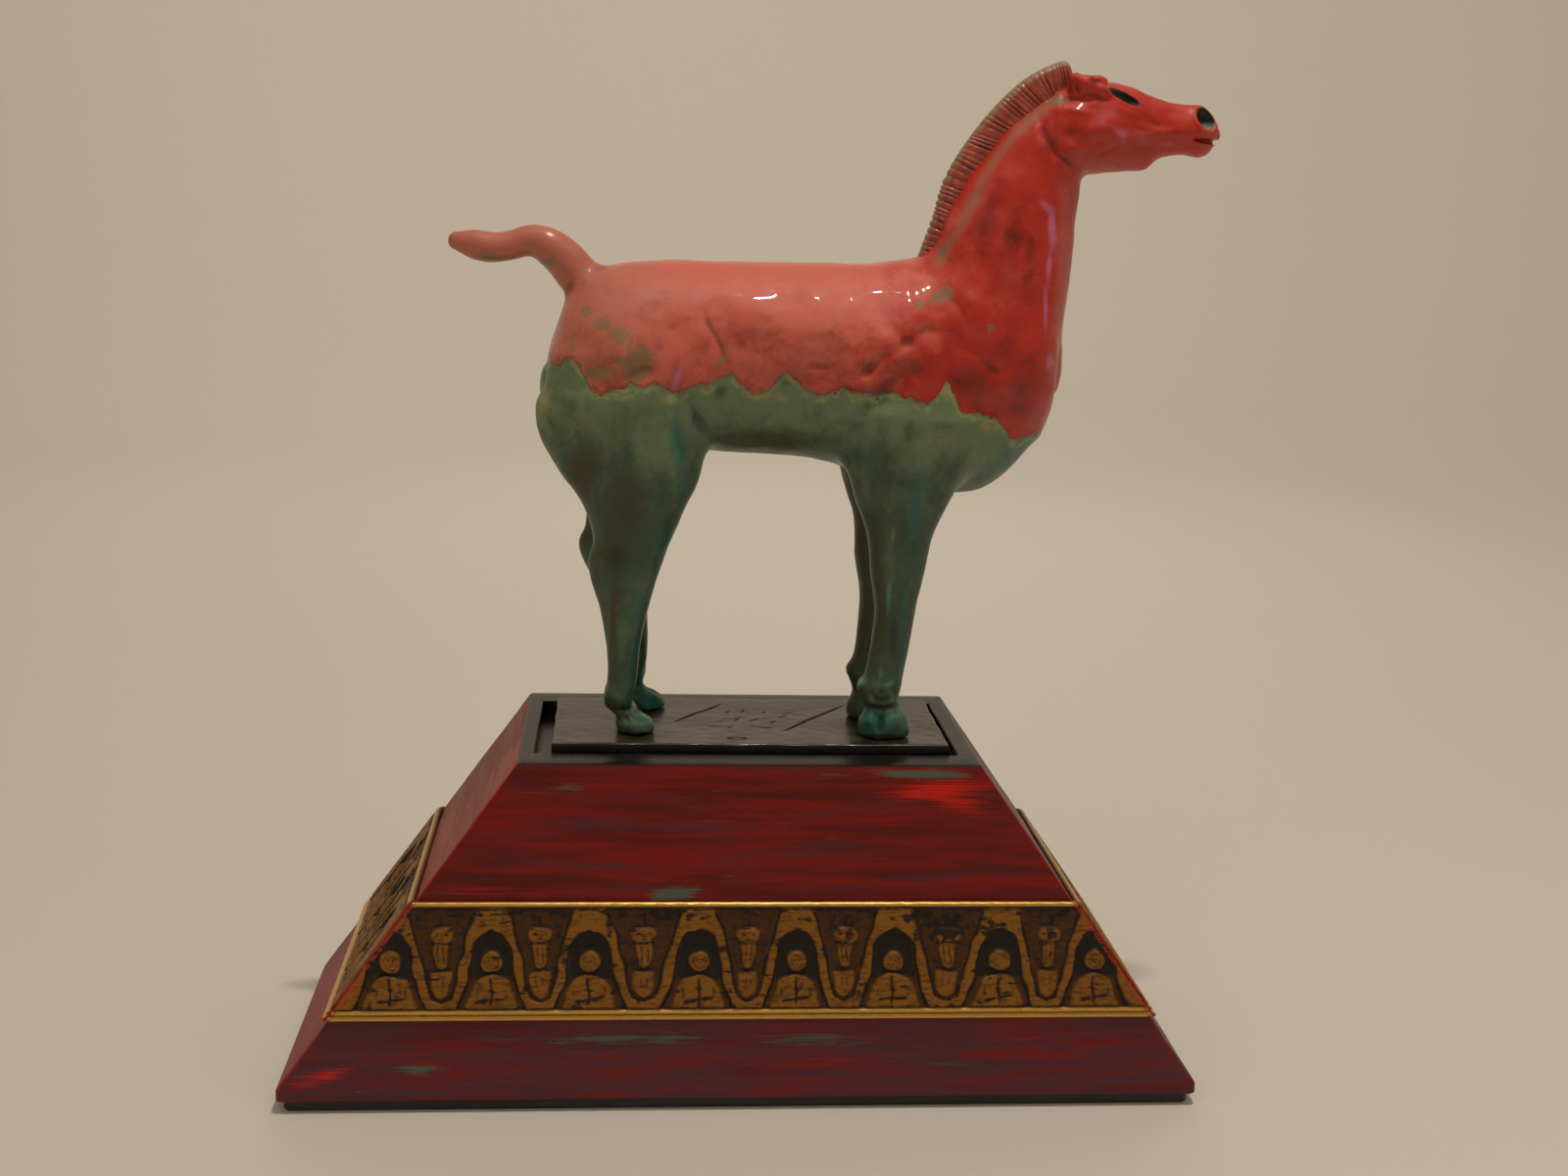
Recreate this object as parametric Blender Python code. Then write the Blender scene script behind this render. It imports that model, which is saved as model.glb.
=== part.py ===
"""Glazed ceramic horse on a painted plinth with a gilt frieze.

Metres, +Z up. The origin is the middle of the base board's underside, +X is where the horse faces, and -Y is
the side that the viewer sees. Run it with blender --background --python part.py, or from the text editor.
"""
import math

import bmesh
import bpy
import numpy as np

# Clearance between pieces that touch or rest on one another
GAP = 0.0003

# Base board
BOARD_THICKNESS = 0.0057
BOARD_INSET = 0.003
BOARD_CORNER = 0.004

# Slab: a glazed tile that lies in a recess in the plinth's top and stands above the rim
SLAB_WIDTH = 0.199
SLAB_DEPTH = 0.087
SLAB_THICKNESS = 0.0117
SLAB_BEVEL = 0.0012
STROKE_DEPTH = 0.0006
STROKE_WIDTH = 0.0009

# Recess: the gaps round the slab, wider on the left, where the slab has slipped to the right
GAP_LEFT = 0.0080
GAP_RIGHT = 0.0035
GAP_SIDE = 0.0045
RECESS_DEPTH = 0.008

# Plinth: a low lip, then four leaning faces up to the flat rim round the recess
RIM_LEFT = 0.0075
RIM_RIGHT = 0.0090
RIM_SIDE = 0.0175
PLINTH_HEIGHT = 0.170
PLINTH_CORNER = 0.006
LIP_HEIGHT = 0.006
END_WIDTH = 0.1165
SIDE_DEPTH = 0.0125

# Gilt frieze strips, one on each face of the plinth
BAND_RISE = 0.042
BAND_HEIGHT = 0.060
BAND_THICKNESS = 0.0012
BEAD_RADIUS = 0.0012
RELIEF_HEIGHT = 0.0013
RELIEF_SINK = 0.0006
BAY_PITCH = 0.0455
RIBBON_WIDTH = 0.0090
RIBBON_TAPER = 0.0008
RIBBON_SWING = 0.335
RIBBON_SEGMENTS = 10
BOSS_SIDES = 8

# Horse: its height from sole to mane peak. The stations below are read on a horse 336 parts high.
HORSE_HEIGHT = 0.3360
HORSE_PARTS = 336.0
MESH_SIZE = 0.0016
RING_SIDES = 28
BODY_TRIANGLES = 3600
SOLE_TRIM = 12.0

# Mane: an upright clipped crest with cross notches
MANE_NOTCHES = 44
MANE_THICKNESS = 6.2
MANE_TIP = 3.4
MANE_ROOT = 4.0
NOTCH_DEPTH = 0.9

# Sizes that follow from the ones above
RIM_WIDTH = SLAB_WIDTH + GAP_LEFT + GAP_RIGHT + RIM_LEFT + RIM_RIGHT
RIM_DEPTH = SLAB_DEPTH + 2 * (GAP_SIDE + RIM_SIDE)
PLINTH_WIDTH = RIM_WIDTH + 2 * END_WIDTH
PLINTH_DEPTH = RIM_DEPTH + 2 * SIDE_DEPTH
SLAB_MIDDLE = (RIM_LEFT + GAP_LEFT - RIM_RIGHT - GAP_RIGHT) / 2
PLINTH_FOOT = BOARD_THICKNESS + GAP
PLINTH_TOP = PLINTH_FOOT + PLINTH_HEIGHT
SLOPE_FOOT = PLINTH_FOOT + LIP_HEIGHT
SLAB_FOOT = PLINTH_TOP - RECESS_DEPTH + GAP
SLAB_TOP = SLAB_FOOT + SLAB_THICKNESS
SOLE = SLAB_TOP + GAP
PART = HORSE_HEIGHT / HORSE_PARTS

# Trunk: place along the back, height of the back, height of the belly, half width
TRUNK = [
    (-107, 178, 164, 10),
    (-101, 195, 152, 24),
    (-90, 219, 144, 34),
    (-72, 231, 140, 40),
    (-45, 234.5, 140.5, 41),
    (-10, 234.5, 140.5, 41),
    (30, 235, 138, 44),
    (62, 236, 129, 44),
    (92, 241, 122, 41),
    (118, 240, 124, 37),
    (137, 228, 141, 30),
    (148, 213, 159, 21),
    (152.5, 195, 175, 9),
]

# Neck: crest point, throat point (each along and up), half width
NECK = [
    (74, 196, 152.5, 176, 38),
    (81, 226, 155.5, 212, 34),
    (92, 256, 158, 246, 28),
    (104, 280, 160, 271, 23.5),
    (121, 302, 162, 284, 20),
    (139, 317, 166, 294, 17.5),
    (152, 324, 172, 300, 16),
]

# Head: place along, height of the forehead line, height of the jaw line, half width
HEAD = [
    (146, 320, 291, 13),
    (153, 325.5, 284, 17),
    (163, 326.5, 282, 19),
    (174, 326, 283.3, 18.5),
    (184, 324, 284.3, 16),
    (191.5, 321.3, 285.3, 13.5),
    (197, 319.6, 289.5, 11.8),
    (203, 318, 292, 10.8),
    (211, 317, 292.5, 10.5),
    (218.5, 316.8, 291.3, 11),
    (225, 312, 293.5, 9),
    (229.6, 306, 298.5, 5),
]

# Foreleg: height, back edge, front edge (from the hoof's middle), half width
FORELEG = [
    (160, -26, 40, 15),
    (140, -25, 37, 16.5),
    (122, -19.5, 29, 15),
    (104, -13, 21, 12.5),
    (85, -10, 17.6, 11),
    (66, -7, 14.2, 10),
    (46, -8.7, 11.3, 8.6),
    (32, -10.8, 8.8, 8.6),
    (25, -14.6, 7.7, 9.2),
    (18, -12, 6.8, 8.4),
    (13.5, -10.5, 8.5, 8.6),
    (9, -12.6, 11.6, 11),
    (4, -13, 12.8, 12),
    (-6, -12, 12, 11.6),
]

# Hind leg: height, back edge, front edge (from the hoof's middle), half width
HIND_LEG = [
    (186, -44, 20, 15),
    (168, -49, 27, 18),
    (150, -45, 33, 18.5),
    (133, -38, 31, 18),
    (116, -27.5, 24, 15.5),
    (98, -22, 16.5, 12.5),
    (88, -24.4, 12.8, 11.4),
    (76, -22.5, 9.3, 10.2),
    (62, -18.2, 4.5, 9),
    (46, -15, -0.5, 7.8),
    (28, -13.8, -2.9, 7.4),
    (16, -16.8, -3.6, 8.6),
    (11.5, -14.5, -1.5, 7.8),
    (7, -11.4, 5.8, 9.6),
    (3, -10.4, 9.6, 10.8),
    (-6, -9.5, 10.2, 11),
]

# Each leg: stations, hoof's place along and across, the top's place across, and shifts of hock and top along
LEGS = {
    "near_fore": (FORELEG, 69.6, -25.5, -25.0, 0.0, 0.0),
    "far_fore": (FORELEG, 67.5, 9.0, 24.0, -2.5, 3.0),
    "near_hind": (HIND_LEG, -56.6, -20.0, -22.5, 0.0, 0.0),
    "far_hind": (HIND_LEG, -50.5, 26.0, 22.5, -11.0, -2.5),
}

# Tail: middle of each section along and up, half thickness
TAIL = [
    (-78, 212, 8),
    (-87, 225, 10.5),
    (-97, 236, 10),
    (-109, 242, 8.0),
    (-120, 239.5, 7.4),
    (-130, 238.3, 7.3),
    (-138, 239.6, 7.2),
    (-146.5, 241, 4.5),
]

# Mane: foot of the crest and its outer edge, each along and up
MANE = [
    (92, 238, 80.5, 240),
    (99, 255, 86.5, 259),
    (106, 270, 91, 276),
    (116, 287, 99.5, 292),
    (129, 302, 113, 310.5),
    (143, 312, 130, 327),
    (152, 317, 148, 336),
    (155, 319, 152.5, 331),
]

# Ear: root to tip, each along, across and up, with its half thickness along and across
EAR = [
    (149, 8.5, 320, 3.4, 4.5),
    (154, 10.8, 323, 5.2, 5.0),
    (160, 12.2, 323.5, 5.0, 4.6),
    (166, 12.8, 323.2, 2.4, 2.6),
]

# Almond and slot cuts in the head: middle along and up, half length, half height, turn in degrees
EYE_CUT = (179.3, 319.3, 8.4, 2.4, -24)
NOSTRIL_CUT = (222.4, 310.2, 4.6, 5.9, 28)
MOUTH_CUT = (218, 300.4, 13.0, 1.0, -5)
EAR_CUT = (161.5, 323.8, 3.4, 2.2, -12)
EAR_OUTER = 16.5
CUT_DEPTH = 2.8
CUT_REACH = 9.0
HOCK_HEIGHT = 0.47
HOCK_SPREAD = 0.16
CUT_SIDES = 14


def clear_scene():
    """Removes whatever the file opened with."""
    for item in list(bpy.data.objects):
        bpy.data.objects.remove(item, do_unlink=True)


def principled(name, colour, roughness, metallic=0.0, coat=0.0):
    """Returns a named material with one Principled shader."""
    material = bpy.data.materials.new(name)
    material.use_nodes = True
    shader = material.node_tree.nodes["Principled BSDF"]
    shader.inputs["Base Color"].default_value = (*colour, 1.0)
    shader.inputs["Roughness"].default_value = roughness
    shader.inputs["Metallic"].default_value = metallic
    shader.inputs["Coat Weight"].default_value = coat
    return material


def add_mesh(name, verts, faces, material=None):
    """Returns a linked object whose closed mesh has its faces pointing out."""
    mesh = bpy.data.meshes.new(name)
    mesh.from_pydata([tuple(map(float, v)) for v in verts], [], faces)
    tidy = bmesh.new()
    tidy.from_mesh(mesh)
    bmesh.ops.recalc_face_normals(tidy, faces=tidy.faces)
    tidy.to_mesh(mesh)
    tidy.free()
    item = bpy.data.objects.new(name, mesh)
    bpy.context.scene.collection.objects.link(item)
    if material:
        mesh.materials.append(material)
    return item


def stack(rings):
    """Joins rings of equal count into a closed skin with an end face on each end."""
    count = len(rings[0])
    verts = [point for ring in rings for point in ring]
    faces = [list(range(count))[::-1], [len(verts) - count + k for k in range(count)]]
    for level in range(len(rings) - 1):
        low = level * count
        for k in range(count):
            after = (k + 1) % count
            faces.append((low + k, low + after, low + count + after, low + count + k))
    return verts, faces


def as_cutter(item):
    """Marks a helper that is cut away or joined, and isn't a piece of its own."""
    item.hide_render = True
    item.display_type = "WIRE"
    return item


def settle(item):
    """Replaces an object's mesh by the mesh that its modifiers make."""
    graph = bpy.context.evaluated_depsgraph_get()
    mesh = bpy.data.meshes.new_from_object(item.evaluated_get(graph))
    item.modifiers.clear()
    item.data = mesh
    return item


def combine(item, helper, operation, whole=False):
    """Cuts a helper from an object or joins it on, and removes the helper."""
    modifier = item.modifiers.new(helper.name, "BOOLEAN")
    modifier.operation = operation
    modifier.object = as_cutter(helper)
    modifier.solver = "EXACT"
    modifier.use_self = whole
    settle(item)
    bpy.data.objects.remove(helper, do_unlink=True)
    return item


def rounded_rectangle(half_x, half_y, corner, z, steps=4):
    """Returns the ring of a rectangle with round corners at one height."""
    ring = []
    for turn in range(4):
        cx = (half_x - corner) * (1 if turn in (0, 3) else -1)
        cy = (half_y - corner) * (1 if turn in (0, 1) else -1)
        for k in range(steps + 1):
            angle = math.pi / 2 * (turn + k / steps)
            ring.append((cx + corner * math.cos(angle), cy + corner * math.sin(angle), z))
    return ring


def box(name, x, y, z):
    """Returns a box from three pairs of limits."""
    rings = [[(x[0], y[0], h), (x[1], y[0], h), (x[1], y[1], h), (x[0], y[1], h)] for h in z]
    return add_mesh(name, *stack(rings))


def face_half_width(z):
    """Half width of the plinth at a height, between its leaning ends."""
    return PLINTH_WIDTH / 2 - END_WIDTH * (z - SLOPE_FOOT) / (PLINTH_HEIGHT - LIP_HEIGHT)


def face_half_depth(z):
    """Half depth of the plinth at a height, between its leaning front and back."""
    return PLINTH_DEPTH / 2 - SIDE_DEPTH * (z - SLOPE_FOOT) / (PLINTH_HEIGHT - LIP_HEIGHT)


def build_base_board():
    """The thin board under the plinth."""
    half_x = PLINTH_WIDTH / 2 - BOARD_INSET
    half_y = PLINTH_DEPTH / 2 - BOARD_INSET
    rings = [rounded_rectangle(half_x, half_y, BOARD_CORNER, z) for z in (0.0, BOARD_THICKNESS)]
    return add_mesh("base_board", *stack(rings), principled("board_paint", (0.012, 0.011, 0.012), 0.45))


def build_plinth():
    """Lip, leaning faces and the recess in the top."""
    rings = [
        rounded_rectangle(PLINTH_WIDTH / 2, PLINTH_DEPTH / 2, PLINTH_CORNER, PLINTH_FOOT),
        rounded_rectangle(PLINTH_WIDTH / 2, PLINTH_DEPTH / 2, PLINTH_CORNER, SLOPE_FOOT),
        rounded_rectangle(RIM_WIDTH / 2, RIM_DEPTH / 2, PLINTH_CORNER / 2, PLINTH_TOP),
    ]
    plinth = add_mesh("plinth", *stack(rings), principled("plinth_paint", (0.16, 0.03, 0.025), 0.42))
    span_x = (RIM_LEFT - RIM_WIDTH / 2, RIM_WIDTH / 2 - RIM_RIGHT)
    span_y = (RIM_SIDE - RIM_DEPTH / 2, RIM_DEPTH / 2 - RIM_SIDE)
    recess = box("recess", span_x, span_y, (PLINTH_TOP - RECESS_DEPTH, PLINTH_TOP + RECESS_DEPTH))
    return combine(plinth, recess, "DIFFERENCE")


def stroke(across, deep, length, angle):
    """A shallow groove in the slab's top, placed by shares of the slab's width and depth."""
    middle = np.array([SLAB_MIDDLE + across * SLAB_WIDTH, deep * SLAB_DEPTH])
    along = np.array([math.cos(angle), math.sin(angle)]) * length * SLAB_WIDTH / 2
    aside = np.array([-math.sin(angle), math.cos(angle)]) * STROKE_WIDTH / 2
    corners = [middle + a * along + b * aside for a, b in ((-1, -1), (1, -1), (1, 1), (-1, 1))]
    heights = (SLAB_TOP - STROKE_DEPTH, SLAB_TOP + STROKE_DEPTH)
    rings = [[(*corner, z) for corner in corners] for z in heights]
    return add_mesh("stroke", *stack(rings))


def build_slab():
    """The glazed tile with two long strokes and rows of short strokes between them."""
    levels = ((SLAB_FOOT, 0.0), (SLAB_TOP - SLAB_BEVEL, 0.0), (SLAB_TOP, SLAB_BEVEL))
    rings = []
    for z, cut in levels:
        ring = rounded_rectangle(SLAB_WIDTH / 2 - cut, SLAB_DEPTH / 2 - cut, 2 * SLAB_BEVEL, z, 2)
        rings.append([(SLAB_MIDDLE + x, y, z) for x, y, z in ring])
    slab = add_mesh("slab", *stack(rings), principled("slab_glaze", (0.03, 0.026, 0.026), 0.2, coat=0.5))
    slope = math.radians(30)
    strokes = [(-0.13, -0.27, 0.17, slope), (0.165, -0.28, 0.18, 0.8 * slope)]
    for row in range(3):
        for k in range(3):
            turn = slope * (0.3 + 0.35 * ((k + row) % 3))
            strokes.append((-0.038 + 0.045 * k + 0.01 * row, -0.34 + 0.075 * row, 0.028, turn))
    for place in strokes:
        combine(slab, stroke(*place), "DIFFERENCE")
    return slab


def strip_section():
    """Height and stand-off of the strip's outline: a flat back, one bead above and two below."""
    section = [(0.0, GAP), (BAND_HEIGHT, GAP)]
    beads = (BAND_HEIGHT - BEAD_RADIUS, 3.2 * BEAD_RADIUS, BEAD_RADIUS)
    for middle in beads:
        for k in range(5):
            angle = math.pi * k / 4
            stand = BAND_THICKNESS + BEAD_RADIUS * math.sin(angle)
            section.append((middle + BEAD_RADIUS * math.cos(angle), GAP + stand))
    kept = [section[0]]
    for point in section[1:]:
        if math.dist(point, kept[-1]) > 1e-6:
            kept.append(point)
    return kept


def face_point(side, u, z, stand):
    """A point on one of the plinth's faces, u along it, at a height, standing off it."""
    lean_end = math.hypot(1, END_WIDTH / (PLINTH_HEIGHT - LIP_HEIGHT))
    lean_side = math.hypot(1, SIDE_DEPTH / (PLINTH_HEIGHT - LIP_HEIGHT))
    if side in ("front", "back"):
        sign = -1 if side == "front" else 1
        return (-sign * u, sign * (face_half_depth(z) + stand * lean_side), z)
    sign = -1 if side == "left" else 1
    return (sign * (face_half_width(z) + stand * lean_end), sign * u, z)


def face_end(side, z, stand):
    """How far along a face its mitre is, at a height and a stand-off."""
    if side in ("front", "back"):
        return abs(face_point("right", 0, z, stand)[0]) - GAP
    return abs(face_point("back", 0, z, stand)[1]) - GAP


def boss(outline, height, inner=0.72):
    """A low raised form: its outline sunk in the strip, and a smaller flat top."""
    middle = np.mean(outline, axis=0)
    rings = []
    for share, stand in ((1.0, -RELIEF_SINK), (inner, height)):
        rings.append([(*(middle + (np.array(point) - middle) * share), stand) for point in outline])
    return stack(rings)


def oval(u, v, half_u, half_v, sides=BOSS_SIDES):
    """The outline of an oval on the strip."""
    angles = np.linspace(0, 2 * math.pi, sides, endpoint=False)
    return [(u + half_u * math.cos(a), v + half_v * math.sin(a)) for a in angles]


def ribbon(bays):
    """A broad flat ridge along a wave, which arches over each seated figure and dips under each mask."""
    reach = bays * BAY_PITCH / 2
    crest = 0.0 if bays % 2 else BAY_PITCH / 2
    fine = np.linspace(-reach, reach, bays * RIBBON_SEGMENTS * 8 + 1)
    swing = BAND_HEIGHT * RIBBON_SWING
    turn = 2 * math.pi / BAY_PITCH
    wave = swing * np.cos(turn * (fine - crest))
    travelled = np.r_[0, np.cumsum(np.hypot(np.diff(fine), np.diff(wave)))]
    u = np.interp(np.linspace(0, travelled[-1], bays * RIBBON_SEGMENTS + 1), travelled, fine)
    v = BAND_HEIGHT / 2 + swing * np.cos(turn * (u - crest))
    slope = -turn * swing * np.sin(turn * (u - crest))
    normal = np.stack([-slope, np.ones_like(slope)], -1) / np.hypot(1, slope)[:, None]
    middle = np.stack([u, v], -1)
    foot, top = RIBBON_WIDTH / 2, RIBBON_WIDTH / 2 - RIBBON_TAPER
    rings = []
    for centre, across in zip(middle, normal):
        edges = [(foot, -RELIEF_SINK), (top, RELIEF_HEIGHT), (-top, RELIEF_HEIGHT), (-foot, -RELIEF_SINK)]
        rings.append([(*(centre + across * reach_out), stand) for reach_out, stand in edges])
    return stack(rings)


def seated_figure(u):
    """A round head over a cloak, low under an arch of the ribbon."""
    tall = BAND_HEIGHT
    yield boss(oval(u, 0.46 * tall, 0.085 * tall, 0.090 * tall), RELIEF_HEIGHT)
    cloak = [(-0.17, 0.075), (0.17, 0.075), (0.145, 0.21), (0.075, 0.325), (-0.075, 0.325), (-0.145, 0.21)]
    yield boss([(u + a * tall, b * tall) for a, b in cloak], RELIEF_HEIGHT)


def hanging_mask(u):
    """A plain broad face over a tapering beard, high between two arches of the ribbon."""
    tall = BAND_HEIGHT
    face = [(-0.06, 0.66), (0.06, 0.66), (0.11, 0.73), (0.09, 0.79), (-0.09, 0.79), (-0.11, 0.73)]
    yield boss([(u + a * tall, b * tall) for a, b in face], RELIEF_HEIGHT)
    beard = [(-0.028, 0.37), (0.028, 0.37), (0.062, 0.62), (-0.062, 0.62)]
    yield boss([(u + a * tall, b * tall) for a, b in beard], RELIEF_HEIGHT)


def build_band(side, gilt):
    """One strip with its beads, wave ribbon, seated figures and hanging masks."""
    section = strip_section()
    foot = SLOPE_FOOT - LIP_HEIGHT + BAND_RISE
    rings = []
    for end in (-1, 1):
        rings.append([face_point(side, end * face_end(side, foot + v, stand), foot + v, stand)
                      for v, stand in section])
    band = add_mesh(f"band_{side}", *stack(rings), gilt)
    bays = int(2 * face_end(side, foot + BAND_HEIGHT / 2, GAP) / BAY_PITCH)
    forms = [ribbon(bays)]
    for k in range(bays):
        forms += seated_figure((k - (bays - 1) / 2) * BAY_PITCH)
    if side != "back":
        for k in range(bays - 1):
            forms += hanging_mask((k - (bays - 2) / 2) * BAY_PITCH)
    verts, faces = [], []
    for form_verts, form_faces in forms:
        faces += [[k + len(verts) for k in face] for face in form_faces]
        verts += [face_point(side, u, foot + v, GAP + BAND_THICKNESS + stand) for u, v, stand in form_verts]
    combine(band, add_mesh(f"relief_{side}", verts, faces), "UNION", whole=True)
    return band


def through(values, places, where):
    """Smooth curve through values given at places, read at other places: cubic pieces with even tangents."""
    values, places = np.asarray(values, float), np.asarray(places, float)
    slope = np.gradient(values, places)
    k = np.clip(np.searchsorted(places, where) - 1, 0, len(places) - 2)
    step = places[k + 1] - places[k]
    t = (where - places[k]) / step
    return ((1 + 2 * t) * (1 - t) ** 2 * values[k] + t * (1 - t) ** 2 * step * slope[k]
            + t * t * (3 - 2 * t) * values[k + 1] + t * t * (t - 1) * step * slope[k + 1])


def resample(stations, between=4):
    """Adds smooth stations between the given ones, by their count along the limb."""
    table = np.array(stations, float)
    places = np.arange(len(table))
    where = np.linspace(0, len(table) - 1, (len(table) - 1) * between + 1)
    return np.stack([through(table[:, c], places, where) for c in range(table.shape[1])], -1)


def limb(name, rows):
    """A closed limb from sections: two edge points in the upright plane, a place across and a half width."""
    angles = np.linspace(0, 2 * math.pi, RING_SIDES, endpoint=False)
    rings = []
    for ax, az, bx, bz, y, width in rows:
        middle = np.array([ax + bx, az + bz]) / 2
        half = np.array([ax - bx, az - bz]) / 2
        plane = middle + np.cos(angles)[:, None] * half
        across = y + width * np.sin(angles)
        rings.append([(p[0] * PART, q * PART, SOLE + p[1] * PART) for p, q in zip(plane, across)])
    return add_mesh(name, *stack(rings))


def upright_limb(name, stations):
    """A limb whose sections stand upright: place along, top, bottom, half width."""
    return limb(name, [(x, top, x, low, 0, width) for x, top, low, width in resample(stations)])


def leg(name, stations, hoof_x, hoof_y, top_y, bend, top_shift):
    """A leg whose sections lie level, shifted along by its own hock bend, and across towards its top."""
    rows = []
    tall = stations[0][0]
    for z, back, front, width in resample(stations):
        share = max(z, 0) / tall
        shift = bend * math.exp(-((share - HOCK_HEIGHT) / HOCK_SPREAD) ** 2) + top_shift * share
        y = hoof_y + (top_y - hoof_y) * min(1, share * 1.3)
        rows.append((hoof_x + shift + back, z, hoof_x + shift + front, z, y, width))
    return limb(name, rows)


def tail():
    """The thick tail, its sections square to its S-shaped path."""
    path = resample(TAIL)
    ahead = np.gradient(path[:, :2], axis=0)
    normal = np.stack([-ahead[:, 1], ahead[:, 0]], -1) / np.hypot(*ahead.T)[:, None]
    rows = [(*(p[:2] + n * p[2]), *(p[:2] - n * p[2]), 0, p[2]) for p, n in zip(path, normal)]
    return limb("tail", rows)


def ear(side):
    """One short ear laid back along the poll."""
    rings = []
    for x, y, z, thick, wide in resample(EAR, 3):
        angles = np.linspace(0, 2 * math.pi, 12, endpoint=False)
        rings.append([((x + thick * 0.35 * math.cos(a)) * PART, side * (y + wide * math.sin(a)) * PART,
                       SOLE + (z + thick * math.cos(a)) * PART) for a in angles])
    return add_mesh("ear", *stack(rings))


def head_side(x, z):
    """How far out the side of the head is, at a place along it and a height."""
    table = np.array(HEAD, float)
    top, low, width = (through(table[:, c], table[:, 0], np.array([x]))[0] for c in (1, 2, 3))
    share = (z - (top + low) / 2) / ((top - low) / 2)
    return width * math.sqrt(max(0.0, 1 - share ** 2))


def side_cut(name, cut, outer, side):
    """An oval cutter that reaches into the head from the side."""
    x, z, half_x, half_z, turn = cut
    turn = math.radians(turn)
    rings = []
    for y, share in ((outer + CUT_REACH, 1.0), (outer - CUT_DEPTH, 0.85)):
        ring = []
        for a in np.linspace(0, 2 * math.pi, CUT_SIDES, endpoint=False):
            u, v = share * half_x * math.cos(a), share * half_z * math.sin(a)
            along = x + u * math.cos(turn) - v * math.sin(turn)
            up = z + u * math.sin(turn) + v * math.cos(turn)
            ring.append((along * PART, side * y * PART, SOLE + up * PART))
        rings.append(ring)
    return add_mesh(name, *stack(rings))


def mane():
    """The clipped crest: thin towards its outer edge, with notches across it from edge to foot."""
    steps = MANE_NOTCHES * 2
    table = resample(MANE, 8)
    length = np.r_[0, np.cumsum(np.hypot(*np.diff(table[:, 2:], axis=0).T))]
    where = np.linspace(0, length[-1], steps + 1)
    foot_x, foot_z, edge_x, edge_z = (np.interp(where, length, table[:, c]) for c in range(4))
    rings = []
    for k in range(steps + 1):
        notch = NOTCH_DEPTH if k % 2 and 0 < k < steps else 0.0
        foot, edge = np.array([foot_x[k], foot_z[k]]), np.array([edge_x[k], edge_z[k]])
        out = (edge - foot) / np.linalg.norm(edge - foot)
        tall = np.linalg.norm(edge - foot)
        profile = [(-MANE_ROOT, MANE_THICKNESS - notch)]
        profile += [(0.8 * tall, MANE_TIP - notch), (tall - notch, MANE_TIP / 2)]
        ring = [(*(foot + out * rise), -half) for rise, half in profile]
        ring += [(*(foot + out * rise), half) for rise, half in profile[::-1]]
        rings.append([(x * PART, y * PART, SOLE + z * PART) for x, z, y in ring])
    return add_mesh("mane", *stack(rings))


def build_horse():
    """Lofted limbs grown together into one skin, then the cuts, the flat soles and the mane."""
    forms = [upright_limb("horse", TRUNK), upright_limb("head", HEAD), tail(), ear(-1), ear(1)]
    forms.append(limb("neck", [(*row[:4], 0, row[4]) for row in resample(NECK)]))
    for name, (stations, *place) in LEGS.items():
        forms.append(leg(name, stations, *place))
    horse = forms[0]
    with bpy.context.temp_override(active_object=horse, selected_editable_objects=forms):
        bpy.ops.object.join()
    fuse = horse.modifiers.new("fuse", "REMESH")
    fuse.mode = "VOXEL"
    fuse.voxel_size = MESH_SIZE
    soften = horse.modifiers.new("soften", "SMOOTH")
    soften.factor = 0.5
    soften.iterations = 8
    settle(horse)
    thin = horse.modifiers.new("thin", "DECIMATE")
    triangles = sum(len(face.vertices) - 2 for face in horse.data.polygons)
    thin.ratio = BODY_TRIANGLES / triangles
    settle(horse)
    for side in (-1, 1):
        for name, cut in (("eye", EYE_CUT), ("nostril", NOSTRIL_CUT), ("mouth", MOUTH_CUT)):
            combine(horse, side_cut(name, cut, head_side(cut[0], cut[1]), side), "DIFFERENCE")
        combine(horse, side_cut("ear_hollow", EAR_CUT, EAR_OUTER, side), "DIFFERENCE")
    span = (-HORSE_HEIGHT, HORSE_HEIGHT)
    combine(horse, box("sole", span, span, (SOLE - SOLE_TRIM * PART, SOLE)), "DIFFERENCE")
    combine(horse, mane(), "UNION")
    horse.data.materials.clear()
    horse.data.materials.append(principled("horse_glaze", (0.33, 0.05, 0.035), 0.18, coat=0.6))
    return horse


def build():
    """Makes every piece."""
    clear_scene()
    pieces = [build_base_board(), build_plinth(), build_slab()]
    gilt = principled("gilt", (0.42, 0.27, 0.08), 0.4, metallic=0.7)
    pieces += [build_band(side, gilt) for side in ("front", "back", "left", "right")]
    pieces.append(build_horse())
    for piece in pieces:
        piece.data.shade_smooth()
        piece.data.set_sharp_from_angle(angle=math.radians(35))
    return pieces


build()
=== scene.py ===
"""Looks of a glazed ceramic horse on a painted plinth with a gilt frieze.

Lengths in the frame are metres, +Z up. Shapes are worked out in millimetres as whole numpy arrays and scaled
when they go into a mesh. The horse's own heights are above its sole, and +X is the way it faces.
"""
import logging
import math
from dataclasses import dataclass, field
from enum import Enum
from typing import Callable, Iterable, Mapping, Sequence, Union

import bpy
import numpy as np
from mathutils import Matrix, Vector


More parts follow.
